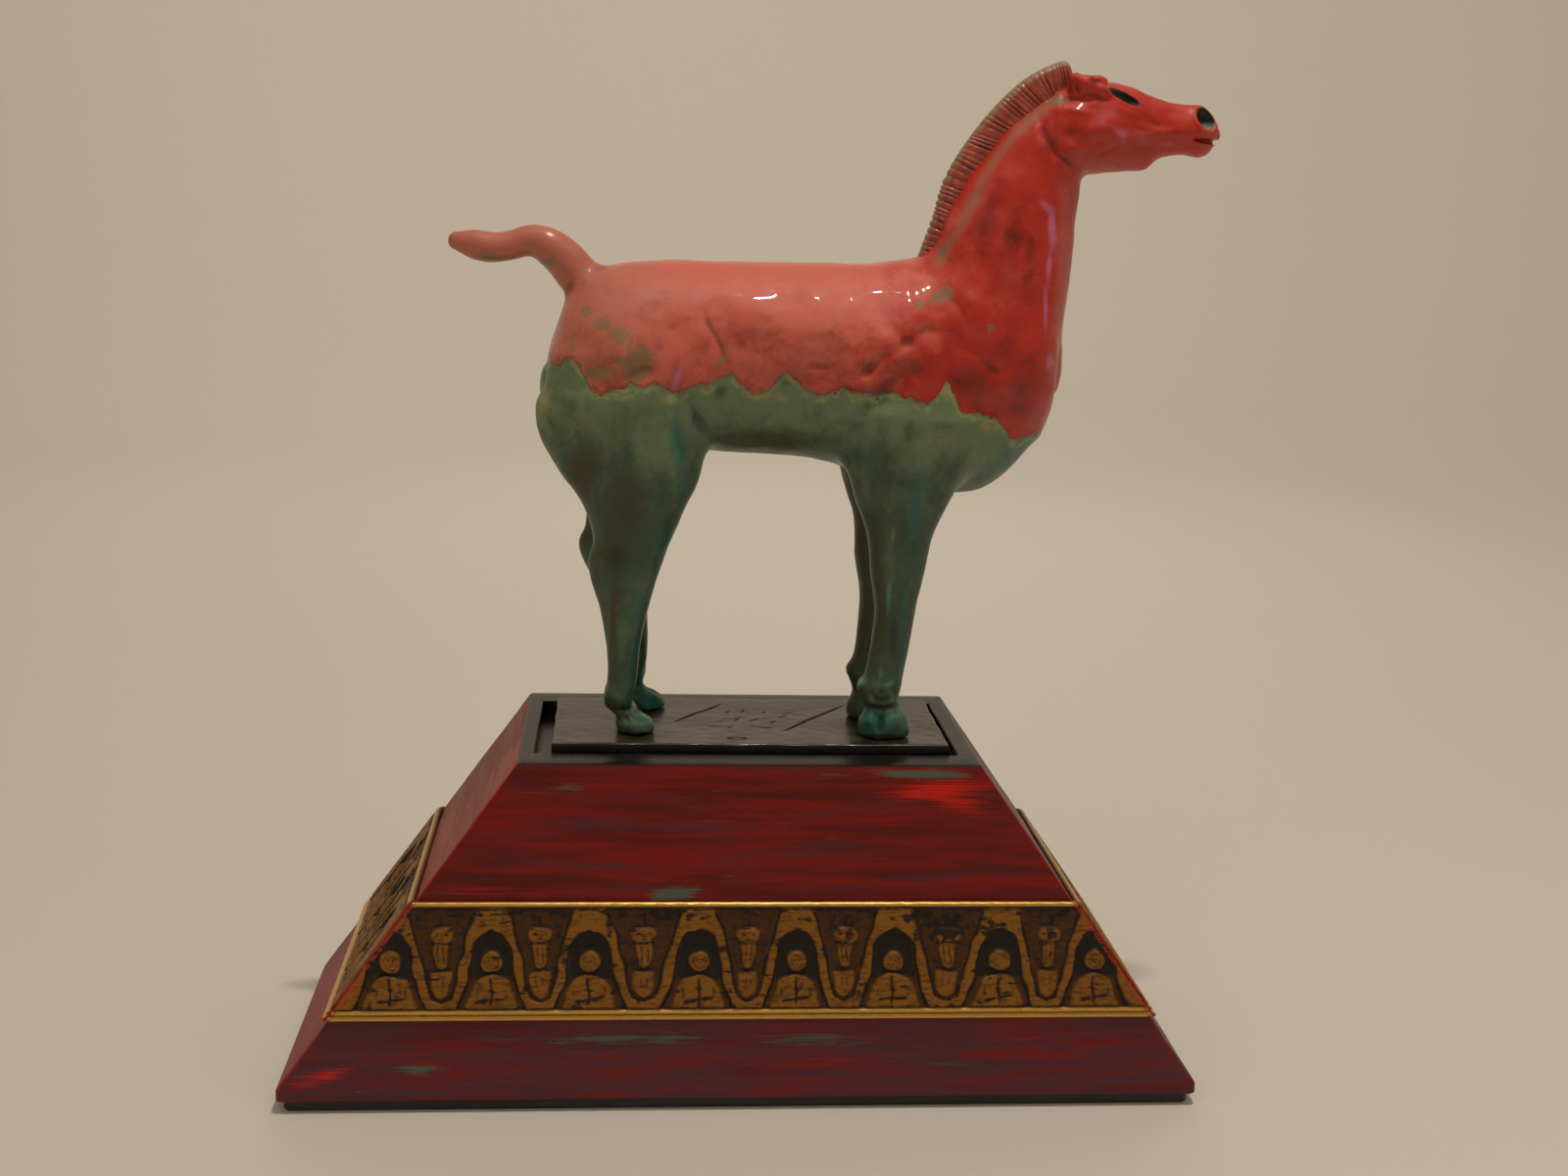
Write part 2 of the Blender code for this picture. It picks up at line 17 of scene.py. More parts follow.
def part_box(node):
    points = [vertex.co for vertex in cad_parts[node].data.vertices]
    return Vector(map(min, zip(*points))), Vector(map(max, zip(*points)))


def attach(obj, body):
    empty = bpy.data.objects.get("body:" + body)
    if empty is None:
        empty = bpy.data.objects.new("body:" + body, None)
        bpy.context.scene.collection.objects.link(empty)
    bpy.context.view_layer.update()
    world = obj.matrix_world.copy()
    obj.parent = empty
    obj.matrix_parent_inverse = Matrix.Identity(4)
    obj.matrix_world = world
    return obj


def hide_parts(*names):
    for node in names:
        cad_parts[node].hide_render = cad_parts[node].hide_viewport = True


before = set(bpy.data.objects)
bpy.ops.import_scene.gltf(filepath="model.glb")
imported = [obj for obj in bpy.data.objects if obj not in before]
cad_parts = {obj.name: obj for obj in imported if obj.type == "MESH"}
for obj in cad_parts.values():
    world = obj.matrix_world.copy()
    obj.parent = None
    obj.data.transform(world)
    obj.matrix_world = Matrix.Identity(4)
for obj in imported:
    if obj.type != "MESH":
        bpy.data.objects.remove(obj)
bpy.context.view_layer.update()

LOG = logging.getLogger("horse")
MM = 0.001
BODY = "root"

Colour = tuple[float, float, float]
Array = Points = np.ndarray
Window = tuple[slice, slice, slice]


def pigment(red: int, green: int, blue: int) -> Colour:
    """Turns a colour as a screen shows it, 0 to 255, into the linear colour that a shader takes."""
    shown = np.array([red, green, blue]) / 255.0
    linear = np.where(shown > 0.04045, ((shown + 0.055) / 1.055) ** 2.4, shown / 12.92)
    return tuple(float(part) for part in linear)


def _operator(operation: str, swapped: bool = False) -> Callable[["Shade", "Number"], "Shade"]:
    """Makes an arithmetic method that adds one Math node.

    Args:
        operation: the node's operation.
        swapped: puts the other value first, as a reflected form needs.

    Returns:
        The method.
    """
    def work(shade: "Shade", other: "Number") -> "Shade":
        """Joins two values in one Math node."""
        return shade.math(operation, *((other, shade) if swapped else (shade, other)))
    return work


class Shade:
    """One socket of a material, with arithmetic that adds Math nodes."""

    def __init__(self, mixer: "Mixer", socket: bpy.types.NodeSocket) -> None:
        """Wraps a socket of the mixer's material."""
        self.mixer = mixer
        self.socket = socket

    def math(self, operation: str, *values: "Number") -> "Shade":
        """Adds one Math node on the values."""
        return self.mixer.node("ShaderNodeMath", {"operation": operation}, dict(enumerate(values)))

    __add__, __radd__ = _operator("ADD"), _operator("ADD", swapped=True)
    __sub__, __rsub__ = _operator("SUBTRACT"), _operator("SUBTRACT", swapped=True)
    __mul__, __rmul__ = _operator("MULTIPLY"), _operator("MULTIPLY", swapped=True)
    __truediv__, __rtruediv__ = _operator("DIVIDE"), _operator("DIVIDE", swapped=True)

    def __abs__(self) -> "Shade":
        """Size without sign."""
        return self.math("ABSOLUTE", self)

    def rise(self, low: float, high: float) -> "Shade":
        """Goes smoothly from 0 at low to 1 at high."""
        return self.mixer.node("ShaderNodeMapRange", {"interpolation_type": "SMOOTHSTEP"},
                               {"Value": self, "From Min": low, "From Max": high})

    def peak(self, middle: float, width: float) -> "Shade":
        """A soft bell: 1 at middle, 0 a width away on both sides."""
        return abs(self - middle).rise(width, 0.0)


Number = Union[float, Shade]
Paint = Union[Colour, Shade]


class Mixer:
    """A material in the making: it adds nodes and wires them to one Principled shader."""

    def __init__(self, name: str) -> None:
        """Starts a material with one Principled shader."""
        self.material = bpy.data.materials.new(name)
        self.material.use_nodes = True
        self.tree = self.material.node_tree
        self.shader = self.tree.nodes["Principled BSDF"]

    def node(self, kind: str, settings: Mapping | None = None, inputs: Mapping | None = None,
             output: int | str = 0) -> Shade:
        """Adds any node.

        Args:
            kind: the node's type.
            settings: its own settings, set first.
            inputs: values or shades for its sockets, by name or number.
            output: which output to take.

        Returns:
            The chosen output.
        """
        made = self.tree.nodes.new(kind)
        for name, value in (settings or {}).items():
            setattr(made, name, value)
        for key, value in (inputs or {}).items():
            self._set(made.inputs[key], value)
        return Shade(self, made.outputs[output])

    def _set(self, socket: bpy.types.NodeSocket, value: Paint | Number) -> None:
        """Links a shade to a socket, or writes a plain value on it."""
        if isinstance(value, Shade):
            self.tree.links.new(value.socket, socket)
        elif socket.type == "RGBA":
            socket.default_value = (*value, 1.0)
        else:
            socket.default_value = value

    def blend(self, first: Paint, second: Paint, share: Number) -> Shade:
        """Mixes two colours; share is how much of the second."""
        return self.node("ShaderNodeMix", {"data_type": "RGBA", "clamp_factor": True},
                         {0: share, 6: first, 7: second}, 2)

    def layers(self, colour: Paint, *rows: tuple[Paint, Shade, float, float, Number]) -> Paint:
        """Lays paints over a colour, one after the other.

        Args:
            colour: what is under them.
            rows: each a paint, a shade, the shade's values where the paint starts and is whole, its strength.

        Returns:
            The mixed colour.
        """
        for paint, shade, low, high, strength in rows:
            colour = self.blend(colour, paint, shade.rise(low, high) * strength)
        return colour

    def place(self) -> Shade:
        """Object coordinates, in metres."""
        return self.node("ShaderNodeTexCoord", output="Object")

    def reading(self, name: str, output: str = "Fac") -> Shade:
        """A value that the mesh carries at each point."""
        return self.node("ShaderNodeAttribute", {"attribute_name": name}, output=output)

    def parts(self, vector: Shade) -> tuple[Shade, Shade, Shade]:
        """Splits a vector into its three numbers."""
        split = self.tree.nodes.new("ShaderNodeSeparateXYZ")
        self.tree.links.new(vector.socket, split.inputs[0])
        return tuple(Shade(self, output) for output in split.outputs)

    def stretched(self, vector: Shade, sizes: Sequence[float]) -> Shade:
        """Divides a place by a size along each axis, in metres."""
        return self.node("ShaderNodeVectorMath", {"operation": "DIVIDE"}, {0: vector, 1: tuple(sizes)})

    def noise(self, vector: Shade, size: float | Sequence[float], detail: float = 3.0,
              rough: float = 0.55, warp: float = 0.0) -> Shade:
        """Cloudy noise, about 0.2 to 0.8, with clouds of a size in metres (one for each axis if three)."""
        sizes = (size,) * 3 if isinstance(size, float) else size
        return self.node("ShaderNodeTexNoise", None,
                         {"Vector": self.stretched(vector, sizes), "Scale": 1.0, "Detail": detail,
                          "Roughness": rough, "Distortion": warp})

    def bump(self, height: Shade, depth: float, strength: float) -> Shade:
        """A Bump node for a height of 0 to 1 that stands for a depth in metres."""
        return self.node("ShaderNodeBump", None, {"Strength": strength, "Distance": depth, "Height": height})

    def finish(self, **sockets: Paint | Number) -> bpy.types.Material:
        """Sets the shader's sockets, by name with underscores for blanks, and returns the material."""
        for name, value in sockets.items():
            self._set(self.shader.inputs[name.replace("_", " ")], value)
        return self.material


def through(values: Array, places: Array, where: Array) -> Array:
    """Smooth curve through values given at places: cubic pieces whose slopes are the neighbours' means.

    Args:
        values: one row for each place.
        places: rising places.
        where: places to read the curve at.

    Returns:
        One row for each place read.
    """
    values, places = np.asarray(values, float), np.asarray(places, float)
    slope = np.gradient(values, places, axis=0)
    k = np.clip(np.searchsorted(places, where) - 1, 0, len(places) - 2)
    step = places[k + 1] - places[k]
    t = np.clip((where - places[k]) / step, 0, 1)
    if values.ndim > 1:
        t, step = t[:, None], step[:, None]
    return ((1 + 2 * t) * (1 - t) ** 2 * values[k] + t * (1 - t) ** 2 * step * slope[k]
            + t * t * (3 - 2 * t) * values[k + 1] + t * t * (t - 1) * step * slope[k + 1])


def resample(stations: Sequence[Sequence[float]], between: int = 4) -> Array:
    """Adds smooth stations between the given ones."""
    table = np.array(stations, float)
    where = np.linspace(0, len(table) - 1, (len(table) - 1) * between + 1)
    return through(table, np.arange(len(table)), where)


def ease(value: Array, low: float, high: float) -> Array:
    """Goes smoothly from 0 at low to 1 at high."""
    t = np.clip((value - low) / (high - low), 0, 1)
    return t * t * (3 - 2 * t)


def span(value: Array, low: float, high: float, brow: float, end: float) -> Array:
    """Goes smoothly from 0 at low to 1 at high, and back to 0 between brow and end."""
    return ease(value, low, high) * (1 - ease(value, brow, end))


def bell(value: Array, width: float, power: int = 2) -> Array:
    """1 where the value is 0, falling to both sides: exp(-(value / width) ** power)."""
    return np.exp(-(value / width) ** power)


def ripple(points: Points, wavelength: float, seed: int, waves: int = 26) -> Array:
    """Random soft relief of about -1 to 1: a sum of plane waves in random directions, near one wavelength."""
    rng = np.random.default_rng(seed)
    ways = rng.normal(size=(waves, points.shape[-1]))
    ways /= np.linalg.norm(ways, axis=1)[:, None]
    ways *= (2 * math.pi / wavelength) * rng.uniform(0.7, 1.35, waves)[:, None]
    phase = rng.uniform(0, 2 * math.pi, waves)
    return np.sin(points @ ways.T + phase).sum(-1) / math.sqrt(waves)


def to_line(x: Array, z: Array, route: Sequence[tuple[float, float]]) -> tuple[Array, Array]:
    """Distance from points to a bent line, and how far along it they are, from 0 to 1."""
    best, along = np.full(x.shape, 1e9), np.zeros(x.shape)
    legs = list(zip(route[:-1], route[1:]))
    for number, ((ax, az), (bx, bz)) in enumerate(legs):
        dx, dz = bx - ax, bz - az
        t = np.clip(((x - ax) * dx + (z - az) * dz) / (dx * dx + dz * dz), 0, 1)
        away = np.hypot(x - ax - t * dx, z - az - t * dz)
        closer = away < best
        best = np.where(closer, away, best)
        along = np.where(closer, (number + t) / len(legs), along)
    return best, along


def make_piece(name: str, points: Points, faces: Iterable[Array], replaced: Sequence[str],
               material: bpy.types.Material, values: Mapping[str, Array] | None = None,
               sharp: float | None = None) -> bpy.types.Object:
    """Puts points and faces into a mesh, dresses it, and fixes it to the frame.

    Args:
        name: the piece's name.
        points: its places in millimetres, one row each.
        faces: arrays of point numbers, one row for each face, all of one width in an array.
        replaced: the CAD nodes that it stands for.
        material: its finish.
        values: numbers or vectors that the mesh carries at each point.
        sharp: the angle in degrees past which an edge stays sharp, or None for a smooth skin.

    Returns:
        The linked object.
    """
    mesh = bpy.data.meshes.new(name)
    blocks = [np.asarray(block, np.int32) for block in faces if len(block)]
    loops = np.concatenate([block.ravel() for block in blocks])
    counts = np.concatenate([np.full(len(block), block.shape[1], np.int32) for block in blocks])
    mesh.vertices.add(len(points))
    mesh.vertices.foreach_set("co", (np.asarray(points) * MM).astype(np.float32).ravel())
    mesh.loops.add(len(loops))
    mesh.loops.foreach_set("vertex_index", loops)
    mesh.polygons.add(len(counts))
    mesh.polygons.foreach_set("loop_start", np.concatenate([[0], np.cumsum(counts)[:-1]]).astype(np.int32))
    mesh.update(calc_edges=True)
    for label, numbers in (values or {}).items():
        wide = np.ndim(numbers) > 1
        layer = mesh.attributes.new(label, "FLOAT_VECTOR" if wide else "FLOAT", "POINT")
        layer.data.foreach_set("vector" if wide else "value", np.asarray(numbers, np.float32).ravel())
    mesh.validate()
    mesh.shade_smooth()
    if sharp is not None:
        mesh.set_sharp_from_angle(angle=math.radians(sharp))
    mesh.materials.append(material)
    piece = bpy.data.objects.new(name, mesh)
    bpy.context.scene.collection.objects.link(piece)
    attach(piece, BODY)
    if replaced:
        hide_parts(*replaced)
    LOG.info("%s: %d triangles", name, int((counts - 2).sum()))
    return piece


def tube_faces(rings: int, around: int, inward: bool = False) -> tuple[Array, Array, Array]:
    """Faces of rings joined one after the other, closed round, with a flat face on each end.

    Args:
        rings: how many rings there are.
        around: how many points a ring has.
        inward: turns the faces over, for rings that run the other way round.

    Returns:
        The sides, the first end and the last end.
    """
    level, place = np.meshgrid(np.arange(rings - 1), np.arange(around), indexing="ij")
    after = (place + 1) % around
    low, high = level * around, (level + 1) * around
    sides = np.stack([low + place, low + after, high + after, high + place], -1).reshape(-1, 4)
    first = np.arange(around)[::-1][None, :]
    last = (rings - 1) * around + np.arange(around)[None, :]
    return tuple(faces[:, ::-1] for faces in (sides, first, last)) if inward else (sides, first, last)


def backed(front: Array, back: float = 0.0) -> Array:
    """A strip's values in one row, with two more at each station for its flat back."""
    return np.hstack([front, np.full((len(front), 2), back)]).ravel()


def point_normals(points: Points, quads: Array) -> Points:
    """Mean outward direction at each point: the sum of its faces' crossed diagonals, made of length 1."""
    across = points[quads[:, 2]] - points[quads[:, 0]]
    along = points[quads[:, 3]] - points[quads[:, 1]]
    facing = np.cross(across, along)
    total = np.stack(
        [np.bincount(quads.ravel(), np.repeat(facing[:, c], 4), len(points)) for c in range(3)], -1)
    return total / np.maximum(np.linalg.norm(total, axis=1), 1e-9)[:, None]


def relax(points: Points, quads: Array, steps: int, pull: float) -> Points:
    """Moves each point towards the mean of its neighbours, a share at a time."""
    starts = quads.ravel()
    ends = np.roll(quads, -1, axis=1).ravel()
    starts, ends = np.r_[starts, ends], np.r_[ends, starts]
    share = 1.0 / np.maximum(np.bincount(starts, minlength=len(points)), 1)
    for _ in range(steps):
        total = np.stack([np.bincount(starts, points[ends, c], len(points)) for c in range(3)], -1)
        points = points + pull * (total * share[:, None] - points)
    return points


def axis_of(*spans: tuple[float, float, float]) -> Array:
    """Places along one axis from spans, each with a start, an end and a spacing."""
    parts = []
    for start, end, spacing in spans:
        count = max(1, round((end - start) / spacing))
        parts.append(np.linspace(start, end, count, endpoint=False))
    return np.r_[np.concatenate(parts), spans[-1][1]].astype(np.float32)


@dataclass
class Clay:
    """A lump of clay on a grid: how far each grid point lies outside the skin, in millimetres."""

    x: Array
    y: Array
    z: Array
    far: float = 30.0
    depth: Array = field(init=False)

    def __post_init__(self) -> None:
        """Starts with no clay."""
        self.depth = np.full((len(self.x), len(self.y), len(self.z)), self.far, np.float32)

    def _window(self, low: Sequence[float], high: Sequence[float]) -> Window:
        """The part of the grid between two corners."""
        return tuple(slice(max(0, np.searchsorted(axis, a) - 1), np.searchsorted(axis, b) + 1)
                     for axis, a, b in zip((self.x, self.y, self.z), low, high))

    def _meet(self, window: Window, other: Array, fillet: float, cut: bool = False) -> None:
        """Joins a form to the clay or cuts it away, less up to a quarter of the fillet at the corner."""
        sign = -1 if cut else 1
        here = self.depth[window] * sign
        alike = np.maximum(fillet - np.abs(here - other), 0) / fillet
        self.depth[window] = sign * (np.minimum(here, other) - alike * alike * fillet / 4)

    def limb(self, rows: Array, fillet: float, cap: float, margin: float = 14.0) -> None:
        """Adds a limb of oval sections that stand square to the x-z plane.

        Each grid point takes the section whose plane it lies in. Its radius there, as a share of the oval's,
        is turned into a distance by the oval's slope. Past an end, the end's own oval closes as a dome.

        Args:
            rows: sections as two edge points (x, z), place across and half width.
            fillet: how softly it meets the clay that is there.
            cap: length of the dome on each end.
            margin: how far round the limb the grid is worked out.
        """
        first, second = rows[:, 0:2], rows[:, 2:4]
        middle, half = (first + second) / 2, (first - second) / 2
        low = np.minimum(first, second).min(0) - margin
        high = np.maximum(first, second).max(0) + margin
        left, right = (rows[:, 4] - rows[:, 5]).min() - margin, (rows[:, 4] + rows[:, 5]).max() + margin
        window = self._window((low[0], left, low[1]), (high[0], right, high[1]))
        px = self.x[window[0]].astype(float)[:, None]
        pz = self.z[window[2]].astype(float)[None, :]
        py = self.y[window[1]].astype(float)[None, :, None]
        size = np.hypot(*half.T)
        ways = np.diff(middle, axis=0)
        turn = np.sign((half[:-1, 0] * ways[:, 1] - half[:-1, 1] * ways[:, 0]).sum())
        (half_x, half_z), (mid_x, mid_z) = half.T[:, :, None, None], middle.T[:, :, None, None]
        ahead = turn * (half_x * (pz - mid_z) - half_z * (px - mid_x)) / size[:, None, None]
        between = (ahead[:-1] >= 0) & (ahead[1:] < 0)
        t = ahead[:-1] / np.where(between, ahead[:-1] - ahead[1:], 1)
        way_x, way_z = ways.T[:, :, None, None]
        away = np.hypot(px - (mid_x[:-1] + t * way_x), pz - (mid_z[:-1] + t * way_z))
        away = np.where(between, away, np.inf)
        number = away.argmin(0)
        inside = np.isfinite(away.min(0))
        share = np.take_along_axis(t, number[None], 0)[0]
        to_first = np.hypot(px - middle[0, 0], pz - middle[0, 1])
        to_last = np.hypot(px - middle[-1, 0], pz - middle[-1, 1])
        at_end = to_last < to_first
        number = np.where(inside, number, np.where(at_end, len(rows) - 2, 0))
        share = np.where(inside, share, at_end)
        past = np.where(inside, 0, np.abs(np.where(at_end, ahead[-1], ahead[0])))[:, None, :]
        place = number + share
        row = [np.interp(place, np.arange(len(rows)), column)
               for column in (*middle.T, *half.T, rows[:, 4], rows[:, 5])]
        long = np.hypot(row[2], row[3])
        along = (((px - row[0]) * row[2] + (pz - row[1]) * row[3]) / long ** 2)[:, None, :]
        wide = row[5][:, None, :]
        across = (py - row[4][:, None, :]) / wide
        long = long[:, None, :]
        radius = np.sqrt(along ** 2 + across ** 2 + (past / cap) ** 2)
        slope = np.sqrt((along / long) ** 2 + (across / wide) ** 2 + (past / cap ** 2) ** 2)
        self._meet(window, ((radius - 1) * radius / np.maximum(slope, 1e-4)).astype(np.float32), fillet)

    def oval(self, centre: Sequence[float], half: Sequence[float], turn: float, fillet: float,
             cut: bool = False) -> None:
        """Adds an ellipsoid of clay or cuts it away, turned about the y axis by some degrees.

        Args:
            centre: its middle.
            half: its half sizes.
            turn: the angle.
            fillet: how softly it meets the clay that is there.
            cut: whether it is cut away.
        """
        margin = 3.0 if cut else 8.0
        reach = max(half) + margin
        window = self._window([c - reach for c in centre], [c + reach for c in centre])
        dx = self.x[window[0]][:, None, None] - centre[0]
        dy = self.y[window[1]][None, :, None] - centre[1]
        dz = self.z[window[2]][None, None, :] - centre[2]
        cos, sin = math.cos(math.radians(turn)), math.sin(math.radians(turn))
        along, up = dx * cos + dz * sin, dz * cos - dx * sin
        radius = np.sqrt((along / half[0]) ** 2 + (dy / half[1]) ** 2 + (up / half[2]) ** 2)
        slope = np.sqrt((along / half[0] ** 2) ** 2 + (dy / half[1] ** 2) ** 2 + (up / half[2] ** 2) ** 2)
        distance = (radius - 1) * radius / np.maximum(slope, 1e-4)
        self._meet(window, distance.astype(np.float32), fillet, cut)

    def trim_below(self, level: float) -> None:
        """Cuts the clay off flat at a height."""
        self.depth = np.maximum(self.depth, (level - self.z)[None, None, :])

    def skin(self) -> tuple[Points, Array]:
        """Wraps the clay: a point in each grid cell that the skin crosses, a face on each crossed grid line.

        A cell's point is the mean of the places where the skin crosses its twelve edges, each found on a
        straight line between the edge's two distances.

        Returns:
            Points in millimetres, and faces of four point numbers that look outwards.
        """
        inside = self.depth < 0
        shape = tuple(size - 1 for size in inside.shape)
        corners = [(a, b, c) for a in (0, 1) for b in (0, 1) for c in (0, 1)]
        count = sum(
            inside[a:a + shape[0], b:b + shape[1], c:c + shape[2]].astype(np.int8) for a, b, c in corners)
        crossed = (count > 0) & (count < 8)
        cells = np.argwhere(crossed)
        numbers = np.full(shape, -1, np.int64)
        numbers[crossed] = np.arange(len(cells))
        values = np.stack([self.depth[tuple((cells + corner).T)] for corner in corners], -1)
        total, hits = np.zeros((len(cells), 3)), np.zeros(len(cells))
        for one, start in enumerate(corners):
            for two, end in enumerate(corners):
                if two <= one or sum(abs(p - q) for p, q in zip(start, end)) != 1:
                    continue
                a, b = values[:, one], values[:, two]
                cut = (a < 0) != (b < 0)
                t = np.where(cut, a / np.where(cut, a - b, 1), 0)
                place = np.array(start) + t[:, None] * (np.array(end) - np.array(start))
                total += np.where(cut[:, None], place, 0)
                hits += cut
        local = total / hits[:, None]
        points = np.stack([axis[cell] + part * (axis[cell + 1] - axis[cell])
                           for axis, cell, part in zip((self.x, self.y, self.z), cells.T, local.T)], -1)
        faces = []
        for way in range(3):
            one, two = (way + 1) % 3, (way + 2) % 3
            ahead = np.roll(inside, -1, axis=way)
            changes = inside != ahead
            changes[tuple(slice(-1, None) if k == way else slice(None) for k in range(3))] = False
            spots = np.argwhere(changes)
            spots = spots[(spots[:, one] > 0) & (spots[:, two] > 0)
                          & (spots[:, one] < shape[one]) & (spots[:, two] < shape[two])]
            ring = []
            for step_one, step_two in ((1, 1), (0, 1), (0, 0), (1, 0)):
                cell = spots.copy()
                cell[:, one] -= step_one
                cell[:, two] -= step_two
                ring.append(numbers[tuple(cell.T)])
            quads = np.stack(ring, -1)
            outward = inside[tuple(spots.T)]
            faces.append(np.where(outward[:, None], quads, quads[:, ::-1]))
        return points.astype(float), np.concatenate(faces)


# The horse's stations, in millimetres, with heights above its sole

# Trunk: place along the back, height of the back, height of the belly, half width
TRUNK = (
    (-103, 182, 160, 11), (-99.5, 196, 152, 24), (-90, 219, 144, 34), (-72, 231, 140, 40),
    (-45, 234.5, 140.5, 41), (-10, 234.5, 140.5, 41), (30, 235, 138, 44), (62, 236, 129, 44),
    (92, 241, 122, 41), (118, 240, 124, 37), (137, 228, 141, 30), (148, 213, 159, 21), (151, 195, 175, 9),
)

# Neck: crest point and throat point, each along and up, half width
NECK = (
    (71, 170, 146, 154, 28), (74, 196, 152, 178, 38), (81, 226, 155.5, 212, 34), (92, 256, 158, 246, 28),
    (104, 280, 160, 271, 23.5), (121, 302, 162, 284, 20), (139, 317, 166, 294, 17.5),
    (152, 324, 172, 300, 16),
)

# Head: place along, height of the forehead line, height of the jaw line, half width
HEAD = (
    (146, 320, 291, 13), (153, 325.5, 284, 17), (163, 326.5, 282, 19), (174, 326, 283.3, 18.5),
    (184, 324, 284.3, 16), (191.5, 321.3, 285.3, 13.5), (197, 319.6, 289.5, 11.8), (203, 318, 292, 10.8),
    (211, 317, 292.5, 10.5), (218.5, 316.8, 291.3, 11), (223.8, 312.6, 293.4, 9.2), (227.2, 306.5, 298, 6),
)

# Foreleg: height, back edge, front edge (from the hoof's middle), half width
FORELEG = (
    (160, -26, 40, 15), (140, -25, 37, 16.5), (122, -19.5, 29, 15), (104, -13, 21, 12.5),
    (85, -10, 17.6, 11), (66, -7, 14.2, 10), (46, -8.7, 11.3, 8.6), (32, -10.8, 8.8, 8.6),
    (25, -14.6, 7.7, 9.2), (18, -12, 6.8, 8.4), (13.5, -10.5, 8.5, 8.6), (9, -12.6, 11.6, 11),
    (4, -13, 12.8, 12), (-6, -12, 12, 11.6),
)

# Hind leg: height, back edge, front edge (from the hoof's middle), half width
HIND_LEG = (
    (186, -36, 14, 12), (168, -49, 26, 18), (152, -49.4, 33, 18.5), (133, -39.5, 31, 18),
    (116, -27.5, 24, 15.5), (98, -22, 16.5, 12.5), (88, -24.4, 12.8, 11.4), (76, -22.5, 9.3, 10.2),
    (62, -18.2, 5.6, 9), (46, -15.3, 2.4, 8.0), (28, -14.4, 0.6, 7.6), (17, -16.2, -0.8, 8.8),
    (12, -14.6, -1.6, 7.6), (8, -10.6, 4.0, 9.2), (3.5, -9.8, 9.4, 10.8), (-6, -9.3, 10.2, 11.2),
)

# Tail: middle of each section along and up, half thickness
TAIL = (
    (-78, 212, 8), (-87, 225, 10.5), (-97, 236, 10), (-109, 242, 8.0), (-120, 239.5, 7.4),
    (-130, 238.3, 7.3), (-138, 239.6, 7.2), (-146.5, 241, 4.5),
)

# Mane: foot of the crest and its outer edge, each along and up
MANE = (
    (92, 238, 80.5, 240), (99, 255, 86.5, 259), (106, 270, 91, 276), (116, 287, 99.5, 292),
    (129, 302, 113, 310.5), (143, 312, 130, 327), (152, 317, 148, 335.6), (155, 319, 152.5, 330.5),
)

# Where the red glaze ends on the near side: place along, height
RED_EDGE = (
    (-112, 179), (-107, 180.5), (-103.5, 184), (-100, 182), (-97, 180), (-94, 183.5), (-90, 185), (-86, 180),
    (-82, 171), (-76, 168), (-70, 170), (-64, 172), (-56, 171), (-50, 173), (-44, 171), (-38, 167.5),
    (-32, 171), (-22, 173), (-15, 177), (-10, 178), (-4, 172), (0, 170.5), (8, 172), (13, 177), (18, 180.5),
    (23, 175),
    (30, 169.5), (38, 170), (46, 172), (54, 170.5), (60, 170), (70, 171.5), (80, 168), (90, 166.5), (94, 171),
    (98, 177), (101, 173), (104, 167), (110, 162), (118, 161), (125, 159), (132, 150), (143, 152), (155, 156),
)


def seen(points: Points) -> tuple[Array, Array]:
    """Where points of the near side appear on the middle plane (x, height above the sole) to the camera.

    Marks measured in the photo are places on that plane. Points of the far side keep their own place.
    """
    camera_x, camera_y, camera_z = -61.6, -947.5, 270.4
    grow = -camera_y / (np.minimum(points[:, 1], 0) - camera_y)
    return camera_x + (points[:, 0] - camera_x) * grow, camera_z + (points[:, 2] - camera_z) * grow


# Bare grey-pink stripe along the foot of the crest
STRIPE = (
    (92, 238), (95, 244), (100, 252), (104, 261), (108, 270), (111, 278), (116, 286.5), (123.5, 297),
    (131, 305.5), (140, 313.5), (148, 318.5),
)


class Leg(Enum):
    """Each leg: stations, hoof's place along and across, the top's place across, hock bend and top shift."""

    NEAR_FORE = (FORELEG, 69.6, -25.5, -25.0, 0.0, 0.0)
    FAR_FORE = (FORELEG, 67.5, 9.0, 24.0, -2.5, 3.0)
    NEAR_HIND = (HIND_LEG, -56.6, -20.0, -22.5, 0.0, 0.0)
    FAR_HIND = (HIND_LEG, -50.5, 26.0, 22.5, -11.0, -2.5)

    def sections(self) -> Array:
        """Level sections, bent at the hock by a bell-shaped shift and moved across towards the top."""
        stations, hoof_x, hoof_y, top_y, bend, top_shift = self.value
        rows = resample(stations)
        z, back, front, width = rows.T
        share = np.maximum(z, 0) / stations[0][0]
        shift = bend * bell(share - 0.47, 0.16) + top_shift * share
        y = hoof_y + (top_y - hoof_y) * np.minimum(1, share * 1.3)
        return np.stack([hoof_x + shift + back, z, hoof_x + shift + front, z, y, width], -1)


NEAR, FAR, BOTH = (-1,), (1,), (-1, 1)


@dataclass(frozen=True)
class Groove:
    """A groove pressed into a flank: its route (along, up), half width, depth and the sides it shows on."""

    route: tuple[tuple[float, float], ...]
    width: float
    depth: float
    sides: tuple[int, ...]


